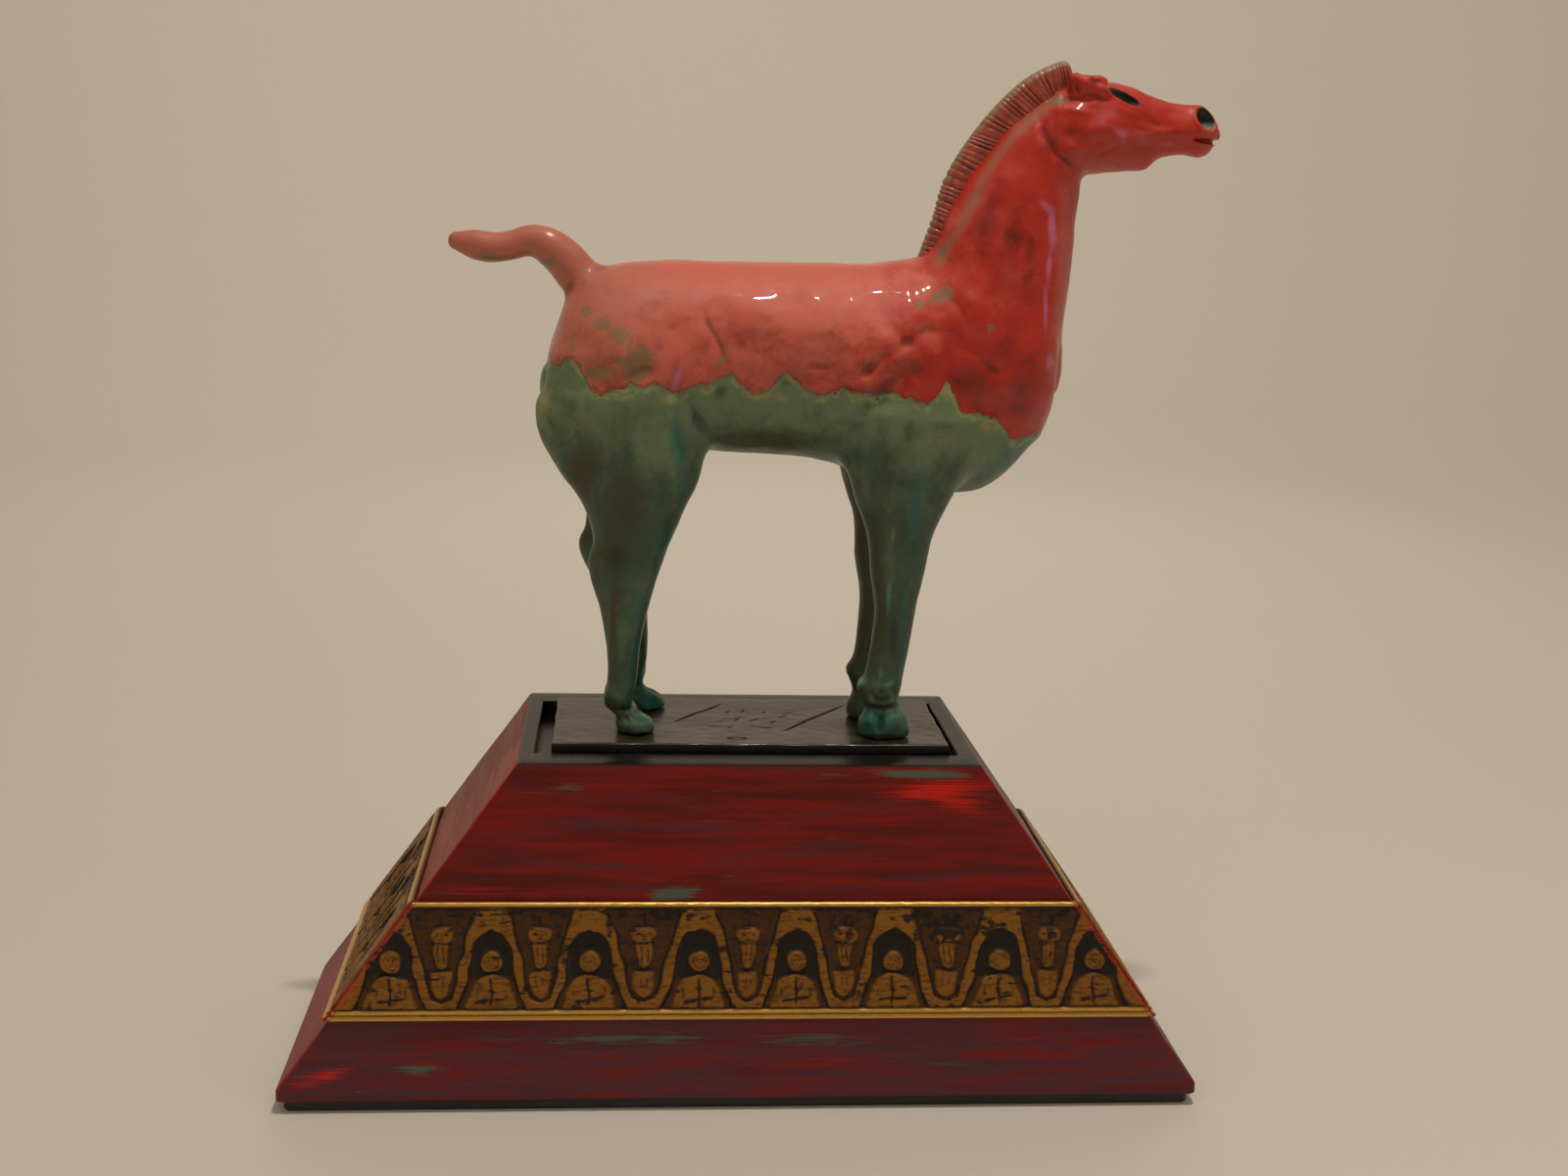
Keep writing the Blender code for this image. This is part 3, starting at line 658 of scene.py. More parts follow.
@dataclass(frozen=True)
class Oval:
    """An oval seen from the side: its place along and up, half sizes and turn in degrees."""

    x: float
    z: float
    half_x: float
    half_z: float
    turn: float

    def radius(self, x: Array, z: Array) -> Array:
        """Distance from the middle as a share of the oval's own radius."""
        cos, sin = math.cos(math.radians(self.turn)), math.sin(math.radians(self.turn))
        u = ((x - self.x) * cos + (z - self.z) * sin) / self.half_x
        v = ((z - self.z) * cos - (x - self.x) * sin) / self.half_z
        return np.hypot(u, v)


@dataclass(frozen=True)
class Swell(Oval):
    """A soft swelling or mark, a dent where its height is negative, and the sides that it shows on."""

    height: float
    sides: tuple[int, ...]

    def share(self, x: Array, z: Array) -> Array:
        """A bell over the oval: 1 in its middle, about a third at its edge."""
        return bell(self.radius(x, z), 1.0)


@dataclass(frozen=True)
class Slit(Oval):
    """An oval cut in both sides of the head, and how deep it goes."""

    deep: float


def grooves(sides: tuple[int, ...], *rows: tuple) -> tuple[Groove, ...]:
    """Grooves of some sides, from rows of half width, depth and the route's points."""
    return tuple(Groove(row[2:], row[0], row[1], sides) for row in rows)


def spots(sides: tuple[int, ...], *rows: tuple[float, ...]) -> tuple[Swell, ...]:
    """Swells of some sides, from rows of place along and up, half sizes, turn and height."""
    return tuple(Swell(*row, sides) for row in rows)


GROOVES = grooves(
    NEAR,
    (4.2, 2.1, (40, 166), (50, 175), (66, 189), (86, 204), (100, 203)),
    (4.5, 1.4, (56, 166), (70, 178), (88, 186)), (3.2, 1.5, (104, 196), (112, 192), (122, 184)),
    (4.8, 1.4, (20, 188), (34, 184), (50, 190)), (3.4, 1.2, (66, 206), (76, 198), (84, 190)),
    (3.6, 1.1, (96, 222), (104, 214), (108, 206)), (4.0, 0.5, (-60, 206), (-46, 200), (-36, 204)),
    (4.0, 0.7, (-46, 192), (-40, 182), (-36, 172)), (3.4, 1.1, (0, 152), (15, 163), (37, 172)),
    (1.5, 2.2, (60, 9), (66, 7.6), (73, 6), (82, 8.5)),
    (1.3, 1.4, (64, 22), (66.5, 13), (71, 9.5), (76, 13), (78, 22)),
    (1.9, 2.4, (72.5, 4), (72, -2), (71.6, -8)), (1.2, 1.3, (-68, 5), (-62, 4.6), (-54, 8)),
    (1.3, 1.2, (-62, 3), (-60, -3)), (1.2, 1.0, (-57, 3), (-54, -3)),
) + grooves(
    BOTH,
    (2.8, 1.25, (-25, 210), (-22, 202), (-17, 194), (-14, 185)),
    (2.0, 0.8, (75, 229), (80, 224), (83, 214)), (4.0, 1.6, (-34, 170), (-28, 158), (-20, 146)),
    (3.6, 0.7, (112, 226), (124, 214), (128, 196)), (5.0, 0.9, (52, 150), (60, 164), (76, 172)),
    (3.4, 1.0, (124, 262), (131, 246), (130, 226)), (3.4, 0.8, (104, 252), (112, 242), (116, 228)),
    (2.4, 1.7, (138, 309), (141, 300), (147, 291), (158, 285)),
    (1.6, 0.9, (143, 318.5), (150, 317), (163, 317)), (1.2, 0.9, (168, 292.5), (173, 293), (181, 297)),
    (1.3, 0.7, (184, 306), (190, 303.5), (196, 304)), (1.8, 0.6, (190, 311), (197, 307), (205, 306)),
    (1.4, 0.6, (197, 301), (206, 300), (213, 300)), (5.0, 0.6, (-88, 175), (-82, 160), (-80, 140)),
    (2.2, 0.9, (80, 126), (77, 105), (76, 80)), (1.1, 0.8, (-70.5, 60), (-70.0, 44), (-69.5, 28)),
    (1.2, 0.7, (65.5, 70), (65, 48), (64, 28)),
)

SWELLS = spots(
    BOTH,
    (-70, 172, 26, 28, 20, 1.3), (-46, 158, 9, 24, -14, 0.8), (104, 206, 20, 20, -30, 1.2),
    (92, 156, 17, 18, 10, 1.1), (24, 200, 24, 10, -6, 1.0), (60, 206, 9, 7, 20, 1.0),
    (84, 190, 9, 7, 30, 0.9), (-6, 184, 8, 10, 0, 0.9), (142, 184, 9, 18, 0, 0.6),
    (160, 299, 9.5, 8.5, 0, 2.6), (171, 304, 7, 5, 10, 0.9), (168, 312, 6, 3, -8, -0.9),
    (146, 312, 5, 3.4, 30, 0.9), (179, 300, 4.5, 3, -10, 0.9), (184, 311.5, 6, 2.0, -22, 0.7),
    (154.6, 301.4, 5.0, 4.0, 10, -1.6), (156.4, 294.6, 3.8, 2.4, 0, 1.3), (165, 303, 4.0, 3.0, 30, 0.8),
    (169, 297, 4.0, 2.4, -20, -0.7), (157, 312, 9, 1.9, -3, 0.9), (138, 305, 9, 2.0, 48, 0.6),
    (150, 262, 7, 18, 6, -0.7), (143, 268, 3.0, 6, -10, 1.0), (134, 232, 6, 14, -8, 0.9),
    (116, 270, 7, 10, -30, 0.7), (190, 309, 9, 3.2, -14, -0.9), (196, 303, 5, 2.4, 0, 0.9),
    (206, 312, 8, 3.0, -5, -0.6), (207, 304, 7, 2.4, 0, 0.6), (205, 296, 8, 2.2, 0, -0.7),
    (4, 150, 30, 9, 0, -0.6), (66, 214, 12, 10, 0, -0.6), (-72, 100, 7, 9, 20, 1.0),
    (84, 60, 7, 14, 0, 0.5), (71, 15, 4.2, 4.2, 0, 1.9), (61, 21, 3.6, 3.4, 0, 1.6),
    (79, 20, 3.0, 3.4, 0, 1.1), (66, 1, 3.4, 4.2, 0, 1.7), (79, 1, 3.4, 4.4, 0, 1.7),
    (-70, 13, 4.4, 4.2, 0, 1.9), (-62, 16, 3, 3, 0, 0.6), (-52, 2.5, 7, 1.5, -38, 1.2),
    (-56, -2.6, 9, 1.3, 0, 0.8),
)


EYE = Slit(176.6, 319.0, 8.6, 2.2, -26, 2.0)
NOSTRIL = Slit(219.4, 310.4, 4.4, 6.0, 30, 5.0)
MOUTH = Slit(222.0, 299.2, 10.5, 0.8, -7, 3.5)

# Clay at each ear: whether it is added or cut away, middle (along, out, up), half sizes, turn and fillet
EAR = (
    (True, (153.0, 11.8, 323.6), (4.0, 5.4, 6.4), 14, 1.2),
    (True, (158.6, 12.6, 323.8), (8.2, 5.0, 4.7), -13, 0.8),
    (False, (152.2, 18.6, 322.6), (2.0, 4.6, 5.4), 26, 1.2),
    (False, (162.6, 18.0, 325.2), (5.0, 4.4, 2.5), -34, 0.8),
    (True, (164.6, 12.4, 326.6), (3.6, 2.6, 1.8), -16, 2.2),
    (True, (165.0, 14.4, 321.4), (4.6, 2.8, 2.2), -26, 2.8),
)

# Cuts under the lower lip and between the lips: middle, half sizes, turn and fillet
LIP_CUTS = (
    ((231.0, 0.0, 293.6), (5.6, 14.0, 4.6), -14, 1.0), ((229.5, 0.0, 298.7), (6.5, 14.0, 0.9), -9, 0.5))


def head_side(x: float, z: float) -> float:
    """How far out the side of the head is, at a place along it and a height: its section's half width."""
    table = np.array(HEAD, float)
    top, low, width = through(table[:, 1:], table[:, 0], np.array([x]))[0]
    share = (z - (top + low) / 2) / ((top - low) / 2)
    return width * math.sqrt(max(0.0, 1 - share ** 2))


@dataclass
class Horse:
    """The horse: limbs of clay grown together, cut, dented by hand and glazed in two colours."""

    sole: float
    body_cell: float = 1.72
    head_cell: float = 0.88
    points: Points = field(init=False)
    quads: Array = field(init=False)
    normals: Points = field(init=False)

    def _clay(self) -> Clay:
        """The limbs as distances on a grid that is finer round the head and the hooves."""
        clay = Clay(
            axis_of((-158, 140, self.body_cell), (140, 234, self.head_cell)),
            axis_of((-50, -22, self.body_cell), (-22, 22, 1.15), (22, 50, self.body_cell)),
            axis_of((-2, 30, 1.15), (30, 276, self.body_cell), (276, 336, self.head_cell)),
        )
        clay.limb(self._upright(TRUNK), 1.0, 3.0)
        for leg in Leg:
            clay.limb(leg.sections(), 10.0, 3.0)
        neck = resample(NECK)
        clay.limb(np.column_stack([neck[:, :4], np.zeros(len(neck)), neck[:, 4]]), 9.0, 4.0)
        clay.limb(self._tail(), 9.0, 4.5)
        clay.limb(self._upright(HEAD), 5.0, 1.6)
        self._cut_head(clay)
        clay.oval((-60.5, 26.0, 0.5), (7.5, 16.0, 4.6), -24, 2.0, cut=True)
        clay.trim_below(0.0)
        return clay

    def _upright(self, stations: Sequence[Sequence[float]]) -> Array:
        """Sections square to the x axis, from rows of place along, top, foot and half width."""
        x, top, foot, width = resample(stations).T
        return np.stack([x, top, x, foot, 0 * x, width], -1)

    def _tail(self) -> Array:
        """The tail's round sections, square to its S-shaped path."""
        path = resample(TAIL)
        ahead = np.gradient(path[:, :2], axis=0)
        normal = np.stack([-ahead[:, 1], ahead[:, 0]], -1) / np.hypot(*ahead.T)[:, None]
        thick = path[:, 2:3]
        return np.hstack([path[:, :2] + normal * thick, path[:, :2] - normal * thick, 0 * thick, thick])

    def _cut_head(self, clay: Clay) -> None:
        """Ears with their hollows, eyes, nostrils and the mouth, on both sides."""
        for side in (-1, 1):
            for adds, (x, out, z), half, turn, fillet in EAR:
                clay.oval((x, side * out, z), half, turn, fillet, cut=not adds)
            for cut, fillet in ((EYE, 0.5), (NOSTRIL, 0.8), (MOUTH, 0.4)):
                outer = side * head_side(cut.x, cut.z)
                half = (cut.half_x, cut.deep, cut.half_z)
                clay.oval((cut.x, outer, cut.z), half, cut.turn, fillet, cut=True)
        for centre, half, turn, fillet in LIP_CUTS:
            clay.oval(centre, half, turn, fillet, cut=True)

    def _press(self, points: Points, normals: Points) -> Array:
        """How far each point stands out or in: hand dents, grooves, swellings, hoof clefts, rims."""
        x, y, z = points.T
        seen_x, seen_z = seen(points)
        side_on = ease(np.abs(normals[:, 1]), 0.15, 0.7)
        flank = bell(z - 188, 30) * ease(-x, -150, -110) * ease(x, -110, -60)
        feet = 1 - ease(z, 16, 34)
        neck = ease(x, 70, 95) * span(z, 222, 246, 296, 316)
        strength = 0.20 + 0.95 * flank + 0.42 * neck
        dents = 0.7 * ripple(points, 44, 3) + 0.65 * ripple(points, 24, 5) + 0.16 * ripple(points, 12, 6)
        out = strength * dents + (0.05 + 0.18 * feet) * ripple(points, 8.0, 7)
        for groove in GROOVES:
            away, along = to_line(seen_x, seen_z, groove.route)
            fade = np.sin(np.pi * (0.12 + 0.76 * along))
            across = bell(away, groove.width) - 0.35 * bell(away, 2.4 * groove.width)
            cut = groove.depth * fade * side_on * across
            for side in groove.sides:
                out -= cut * (y * side > 4)
        for swell in SWELLS:
            lift = swell.height * swell.share(seen_x, seen_z) * side_on
            for side in swell.sides:
                out += lift * (y * side > 3)
        out += 0.7 * bell(NOSTRIL.radius(x, z) - 1.28, 0.22) * side_on * (x > 205)
        return out + 0.35 * bell(EYE.radius(x, z) - 1.35, 0.3) * side_on * (z > 315) * (x > 160)

    def _hooves(self, points: Points, normals: Points) -> Array:
        """Grooves on the hooves: a ring at the coronet and a cleft down the front."""
        x, y, z = points.T
        out = np.zeros(len(x))
        for leg in Leg:
            stations, hoof_x, hoof_y = leg.value[:3]
            fore = stations is FORELEG
            ankle, ring = (hoof_x, 12.0) if fore else (hoof_x - 6, 9.5)
            near = bell(x - ankle, 17, 4) * bell(y - hoof_y, 14, 4)
            slope = ring + 0.18 * (x - hoof_x)
            out -= 0.8 * near * bell(z - slope, 1.5)
            low = near * (z < slope + 1)
            out -= 0.9 * low * bell(y - hoof_y, 1.5) * (normals[:, 0] > 0.2)
            for shift in () if fore else (-4.5, 4.0):
                out -= 0.7 * low * bell(x - hoof_x - shift, 1.3) * (np.abs(normals[:, 1]) > 0.4)
        return out

    def shape(self) -> None:
        """Wraps the clay, softens the skin and presses the modelling into it."""
        points, quads = self._clay().skin()
        LOG.info("clay skin: %d points", len(points))
        points = relax(points, quads, 2, 0.5)
        points = relax(points, quads, 1, -0.3)
        normals = point_normals(points, quads)
        points = points + (self._press(points, normals) + self._hooves(points, normals))[:, None] * normals
        points[:, 2] = np.maximum(points[:, 2], 0)
        self.points = points
        self.quads = quads
        self.normals = point_normals(points, quads)

    def _hollow(self) -> Array:
        """How hollow the skin is, painted as shade: how far the neighbourhood's mean stands out of each
        point.
        """
        near = relax(self.points, self.quads, 6, 0.6)
        wide = relax(near, self.quads, 24, 0.6)
        lift = ((near - self.points) * self.normals).sum(1) * 3
        return lift + ((wide - near) * self.normals).sum(1)

    def readings(self) -> dict[str, Array]:
        """What the glaze reads at each point: the glaze edge, hollows and the washes of colour."""
        x, z = seen(self.points)
        y = self.points[:, 1]
        far = ease(y, -6, 10)
        line = np.array(RED_EDGE, float)
        near_edge = through(line[:, 1], line[:, 0], np.clip(x, line[0, 0], line[-1, 0]))
        far_edge = 171 + 4 * np.sin(x / 11.0) + 3 * np.sin(x / 4.7 + 1) + 8 * ease(-x, 60, 100)
        far_edge = far_edge - 22 * ease(x, 112, 140)
        chest = 151 + 3 * np.sin(y / 3.1)
        far_edge = far_edge * (1 - ease(x, 128, 148)) + chest * ease(x, 128, 148)
        edge = near_edge * (1 - far) + far_edge * far
        out = {"glaze_edge": z - edge, "hollow": self._hollow()}
        for name, marks in WASHES.items():
            total = np.zeros(len(x))
            for spot in marks:
                share = spot.height * spot.share(x, z)
                for side in spot.sides:
                    total = np.maximum(total, share * ease(side * y, -6, 6))
            out[name] = total
        out["stripe"] = bell(to_line(x, z, STRIPE)[0], 3.4)
        low = 1 - ease(z, 100, 150)
        front = ease(self.normals[:, 0], 0.25, 0.85)
        back = ease(-self.normals[:, 0], 0.25, 0.85)
        out["teal"] = np.maximum(out["teal"], front * (0.25 + 0.5 * low))
        out["olive"] = np.maximum(out["olive"], back * (0.2 + 0.5 * low))
        return out

    def build(self) -> bpy.types.Object:
        """Shapes the horse and gives it its glaze."""
        self.shape()
        readings = self.readings()
        places = self.points + np.array([0, 0, self.sole])
        return make_piece("horse_skin", places, [self.quads], ["horse"],
                          HorseGlaze(self.sole).mix(), readings)


# Washes of colour over the glaze, laid on in soft spots: place along and up, half sizes, turn and strength
WASHES = {
    "haze": spots(
        NEAR,
        (-84, 208, 5, 4, 0, 0.75), (-76, 203, 6, 5, -30, 0.85), (-90, 194, 4, 8, 0, 0.65),
        (-66, 196, 8, 7, 60, 0.95), (-58, 182, 11, 13, 40, 1.0), (-76, 178, 12, 5, 10, 0.85),
        (-48, 188, 6, 8, 0, 0.45), (-15, 188, 3, 12, -20, 0.6), (82, 216, 3, 6, 0, 0.7),
        (93, 220, 8, 5, 20, 0.9), (94, 243, 6, 6, 0, 0.75), (105, 234, 5, 4, 20, 0.6),
        (120, 206, 9, 5, -20, 0.5), (124, 194, 8, 5, 0, 0.45),
    ) + spots(
        FAR,
        (-70, 198, 14, 12, 30, 0.9), (-30, 186, 12, 8, 0, 0.7), (60, 200, 12, 9, 0, 0.7),
        (112, 228, 9, 12, 0, 0.7),
    ) + spots(
        BOTH,
        (-103, 232, 12, 4, 0, 0.75), (-130, 232, 14, 4, 0, 1.0), (-84, 222, 4, 6, 0, 0.6),
        (147, 317, 9, 2.2, 0, 1.0), (170, 286, 16, 2.2, 4, 0.55),
    ),
    "lilac": spots(
        NEAR,
        (144.5, 265, 2.4, 6, 50, 1.1), (147.5, 254, 2.4, 12, 6, 1.3), (147, 238, 1.7, 14, 0, 0.95),
        (146.5, 214, 1.5, 16, 4, 0.85), (-38, 176, 2.5, 9, -20, 0.9), (-45, 190, 8, 15, 0, 0.55),
        (150, 276, 4, 8, 0, 0.5),
    ) + spots(
        BOTH,
        (150, 168, 8, 6, 0, 0.5), (151, 188, 3, 6, 10, 0.6), (180, 302, 7, 5, -20, 0.5),
        (172, 306, 8, 3, -10, 0.4), (203, 298, 9, 2.4, 0, 0.45), (176, 289, 10, 3, 0, 0.4),
    ),
    "blush": spots(
        NEAR,
        (110, 268, 5, 12, -34, 0.7), (-62, 206, 18, 9, 0, 0.5), (126, 232, 5, 9, 0, 0.5),
        (64, 194, 8, 6, 0, 0.6), (90, 196, 8, 5, 20, 0.6), (-34, 196, 6, 9, 0, 0.6),
        (108, 222, 5, 5, 0, 0.6), (28, 206, 9, 5, 0, 0.5), (130, 300, 7, 8, 50, 0.6),
    ) + spots(
        BOTH,
        (156, 246, 7, 40, 2, 1.1), (158, 210, 9, 34, 0, 1.1), (155, 186, 8, 12, 10, 0.9),
        (172, 312, 8, 4, -10, 0.8), (190, 300, 10, 4, -8, 0.6), (10, 218, 60, 8, 0, 0.5),
    ),
    # dark: darker glaze, with painted shade in the grooves, ear hollows, lower flank and round the hooves
    "dark": spots(
        NEAR,
        (116, 262, 6, 20, -20, 1.0), (128, 252, 7, 16, -10, 1.0), (137, 236, 5, 20, 0, 1.0),
        (112, 244, 9, 8, 0, 0.9), (124, 226, 9, 14, 0, 0.8), (106, 203, 10, 5, 20, 0.6),
        (128, 200, 10, 14, 0, 0.8), (-14, 196, 3, 12, -15, 0.7), (30, 180, 26, 6, 8, 0.8),
        (-10, 182, 16, 7, 0, 0.7), (56, 172, 22, 5, 10, 0.8), (78, 186, 14, 8, 20, 0.7),
        (112, 176, 16, 10, 0, 0.8), (137, 176, 8, 16, 0, 0.8), (145, 297, 6, 11, 0, 0.8),
        (0, 196, 26, 10, -4, 0.5), (40, 198, 24, 8, 6, 0.5), (-56, 172, 30, 5, 0, 0.5),
        (71.8, -2, 2.4, 4.5, 0, 1.3), (71, 7.2, 9, 1.6, 0, 1.2), (71.5, 16, 2.6, 3, 0, 0.9),
        (-62, 5.5, 7, 1.6, 8, 1.0), (72, -9.5, 16, 2.0, 0, 1.2), (-57, -8.5, 14, 2.0, 0, 1.1),
        (-61, 0, 1.4, 3, 0, 0.9), (-66, 84, 9, 10, 0, 0.7), (76, 46, 4, 20, 0, 0.7),
        (-42, 100, 4, 18, 0, 0.5), (96, 150, 14, 9, 20, 0.5), (-70, 140, 12, 9, 10, 0.5),
    ) + spots(
        FAR,
        (110, 250, 16, 22, 0, 0.8), (-20, 196, 12, 12, 0, 0.6), (50, 184, 40, 10, 0, 0.7),
    ) + spots(
        BOTH,
        (156, 300, 9, 7, 0, 0.7), (152, 288, 6, 4, 20, 0.9), (168, 291, 12, 4, 8, 0.7),
        (188, 296, 8, 4, 0, 0.6), (205, 304, 12, 3, -5, 0.5), (152, 318, 8, 2, 0, 0.9),
        (163.4, 326.4, 3.6, 2.2, -30, 1.3), (152.6, 324, 2.6, 5, 20, 0.8),
    ),
    "teal": spots(
        NEAR,
        (-36, 142, 4.0, 28, 6, 1.2), (-34, 112, 4, 26, 8, 1.0), (-28, 158, 3, 10, -20, 0.8),
        (62, 120, 3, 30, 0, 0.6), (110, 150, 10, 6, 0, 0.4),
    ) + spots(
        FAR,
        (-46, 12, 10, 10, -40, 1.2), (-40, 120, 10, 60, 0, 0.8), (88, 120, 10, 50, 0, 0.7),
    ) + spots(
        BOTH,
        (-44, 84, 6, 30, 2, 1.0), (-55, 58, 5, 18, 0, 1.1), (-57, 34, 3.0, 18, 0, 1.2),
        (-61, 18, 5, 8, 0, 0.8), (86, 100, 5, 34, 4, 1.0), (82, 60, 4, 24, 0, 0.9), (84, 34, 3, 14, 0, 0.7),
        (72, 0, 14, 9, 0, 1.3), (-50, 4, 8, 6, -30, 1.1), (132, 140, 7, 22, -40, 1.0),
        (-80, 140, 8, 20, 0, 0.5), (20, 152, 26, 5, 0, 0.4), (-80, 100, 6, 10, 0, 0.6),
    ),
    "olive": spots(
        FAR,
        (60, 60, 30, 40, 0, 0.8),
    ) + spots(
        BOTH,
        (-84, 128, 10, 26, -8, 1.0), (-62, 112, 13, 30, 0, 0.8), (-67, 56, 4, 30, 0, 1.1),
        (-70, 88, 8, 14, 0, 0.9), (66, 90, 6, 44, 0, 0.8), (10, 146, 34, 6, 0, 0.9),
        (70, 50, 5, 30, 0, 0.8), (104, 136, 12, 12, 0, 0.5), (62, 20, 6, 10, 0, 0.7),
        (-67, 8, 6, 5, 0, 0.8), (78, 40, 4, 16, 0, 0.7), (72, -2, 3.2, 4, 0, 1.0),
        (-70, 150, 12, 16, 0, 0.5), (70, 132, 10, 16, 0, 0.5),
    ),
    # pale: paler glaze, with painted highlights on the hooves and thin ones down the legs
    "pale": spots(
        NEAR,
        (-41, 166, 6, 4, 0, 1.1), (98, 173, 5, 6, 0, 1.0), (14, 168, 6, 4, 0, 0.8),
        (73, 66, 1.6, 14, 0, 1.0), (74, 96, 1.8, 12, 0, 0.7), (-66, 166, 10, 3, 0, 0.8),
        (72, 163, 20, 4, 4, 0.7), (24, 160, 8, 3, 0, 0.5), (120, 155, 8, 5, 0, 0.8),
        (-85, 168, 10, 4, 0, 0.8), (70.5, 26, 1.8, 6, 0, 1.0), (75.5, 20, 3.4, 2.4, 30, 1.0),
        (61, 21, 4, 3.4, 30, 0.9), (66.5, 12, 2, 5, -14, 0.9), (77, 12, 2, 5, 14, 0.9),
        (-57, -3.2, 10, 2.0, 0, 1.0), (-51.5, 2.0, 6, 1.8, -38, 0.9), (-66, 12, 5, 3, 0, 0.7),
        (65, 2, 3.4, 3, 0, 0.8), (80, 2, 3.0, 3, 0, 0.7), (-64, 52, 5, 26, 0, 0.7),
        (98, 148, 12, 12, 0, 0.6), (-88, 150, 10, 14, 0, 0.5), (-60, 132, 8, 20, 0, 0.35),
        (-71, 44, 0.9, 20, 0, 0.9), (65.2, 48, 1.0, 22, 0, 0.9), (66, 1, 3, 3, 0, 0.6),
    ) + spots(
        BOTH,
        (-38.5, 128, 1.4, 1.6, 0, 1.1), (-104, 162, 6, 16, 0, 0.9), (78, 82, 3.5, 3, 0, 0.5),
    ),
}


@dataclass(frozen=True)
class HorseGlaze:
    """Coral red glaze above, grey-green and teal glaze below, under one clear coat."""

    sole: float
    coral: Colour = pigment(206, 98, 78)
    rose: Colour = pigment(176, 108, 86)
    crimson: Colour = pigment(184, 40, 22)
    deep: Colour = pigment(86, 16, 8)
    haze: Colour = pigment(116, 112, 78)
    lilac: Colour = pigment(200, 112, 152)
    pink: Colour = pigment(190, 92, 84)
    green: Colour = pigment(108, 126, 92)
    moss: Colour = pigment(58, 78, 58)
    teal: Colour = pigment(28, 98, 92)
    olive: Colour = pigment(66, 54, 28)
    straw: Colour = pigment(160, 156, 104)
    sage: Colour = pigment(146, 112, 84)
    leaf: Colour = pigment(92, 146, 104)
    night: Colour = pigment(18, 24, 18)
    eye_glaze: Colour = pigment(12, 11, 7)
    nostril_shade: Colour = pigment(9, 9, 9)
    ash: Colour = pigment(120, 124, 112)

    def _oval(self, mixer: Mixer, cut: Slit, grow: float, side: float) -> Shade:
        """1 inside one of the head's ovals, on both sides of the head."""
        x, y, z = mixer.parts(mixer.place())
        cos, sin = math.cos(math.radians(cut.turn)), math.sin(math.radians(cut.turn))
        dx, dz = x * 1000.0 - cut.x, z * 1000.0 - (cut.z + self.sole)
        u = (dx * cos + dz * sin) / (cut.half_x * grow)
        v = (dz * cos - dx * sin) / (cut.half_z * grow)
        return (u * u + v * v).rise(1.12, 0.92) * (abs(y) * 1000.0).rise(side, side + 1.0)

    def _red(self, mixer: Mixer, place: Shade) -> Shade:
        """The upper glaze: coral, clouded with crimson, dark washes, lilac runs and grey-green haze, and
        painted shade.
        """
        broad = mixer.noise(place, 0.030, 3.0, 0.6) - 0.5
        cloud = mixer.noise(place, 0.010, 4.0, 0.62, 0.5) - 0.5
        fine = mixer.noise(place, 0.0016, 3.0, 0.6) - 0.5
        smear = mixer.noise(place, (0.024, 0.024, 0.014), 5.0, 0.66, 0.6) - 0.5
        x, _, z = mixer.parts(place)
        # painted shade: low grows towards the lower body, which the red paints darker and more crimson
        low = (z * 1000.0).rise(405.0, 350.0)
        dull = (x * 1000.0).rise(-20.0, -90.0) * 0.7 + broad
        warm = (x * 1000.0).rise(20.0, 130.0) * 0.80 + low * 0.30 + cloud * 1.1 + broad * 0.8
        return mixer.layers(
            mixer.blend(self.coral, self.rose, dull),
            (self.crimson, warm, 0.05, 0.80, 1.0),
            # the dark washes are partly painted shade, and low adds painted shade to the lower body
            (self.deep, mixer.reading("dark") * 0.70 + cloud * 0.7 + smear * 1.5 + low * 0.20,
             0.02, 1.30, 0.9),
            (self.pink, mixer.reading("blush") + smear * 1.2, 0.20, 1.00, 0.7),
            (self.lilac, mixer.reading("lilac") + cloud * 1.2 + smear * 0.6, 0.25, 1.15, 0.8),
            (self.sage, mixer.reading("stripe") + cloud * 1.2 + smear * 0.8, 0.15, 1.10, 0.6),
            (self.haze, mixer.reading("haze") + cloud * 1.5 + fine * 0.8, 0.40, 0.72, 0.7),
            # painted shade: the hollows of the skin are painted dark
            (self.deep, mixer.reading("hollow"), 0.15, 1.3, 0.6))

    def _green(self, mixer: Mixer, place: Shade) -> Shade:
        """The lower glaze: pale under the red, then grey-green, with soft runs of teal, olive and straw."""
        runs = mixer.noise(place, (0.011, 0.011, 0.060), 3.0, 0.6, 0.3) - 0.5
        cloud = mixer.noise(place, 0.012, 4.0, 0.6, 0.5) - 0.5
        fine = mixer.noise(place, 0.0016, 2.0, 0.6) - 0.5
        broad = mixer.noise(place, (0.030, 0.030, 0.045), 5.0, 0.68, 0.4) - 0.5
        patch = mixer.noise(place, 0.028, 4.0, 0.62, 0.4) - 0.5
        edge = mixer.reading("glaze_edge")
        hoof = edge.rise(-150.0, -165.0)
        light = edge.rise(-70.0, -4.0) * 0.75 + cloud * 0.9 + runs * 0.9 + broad * 2.4
        colour = mixer.layers(
            self.moss,
            (self.green, light, -0.15, 0.95, 1.0),
            (self.olive, mixer.reading("olive") + cloud, 0.20, 1.0, 0.75),
            (self.teal, mixer.reading("teal") * 0.8 + runs * 0.8 + patch * 1.8,
             0.10, 1.10, 0.72 + hoof * 0.2))
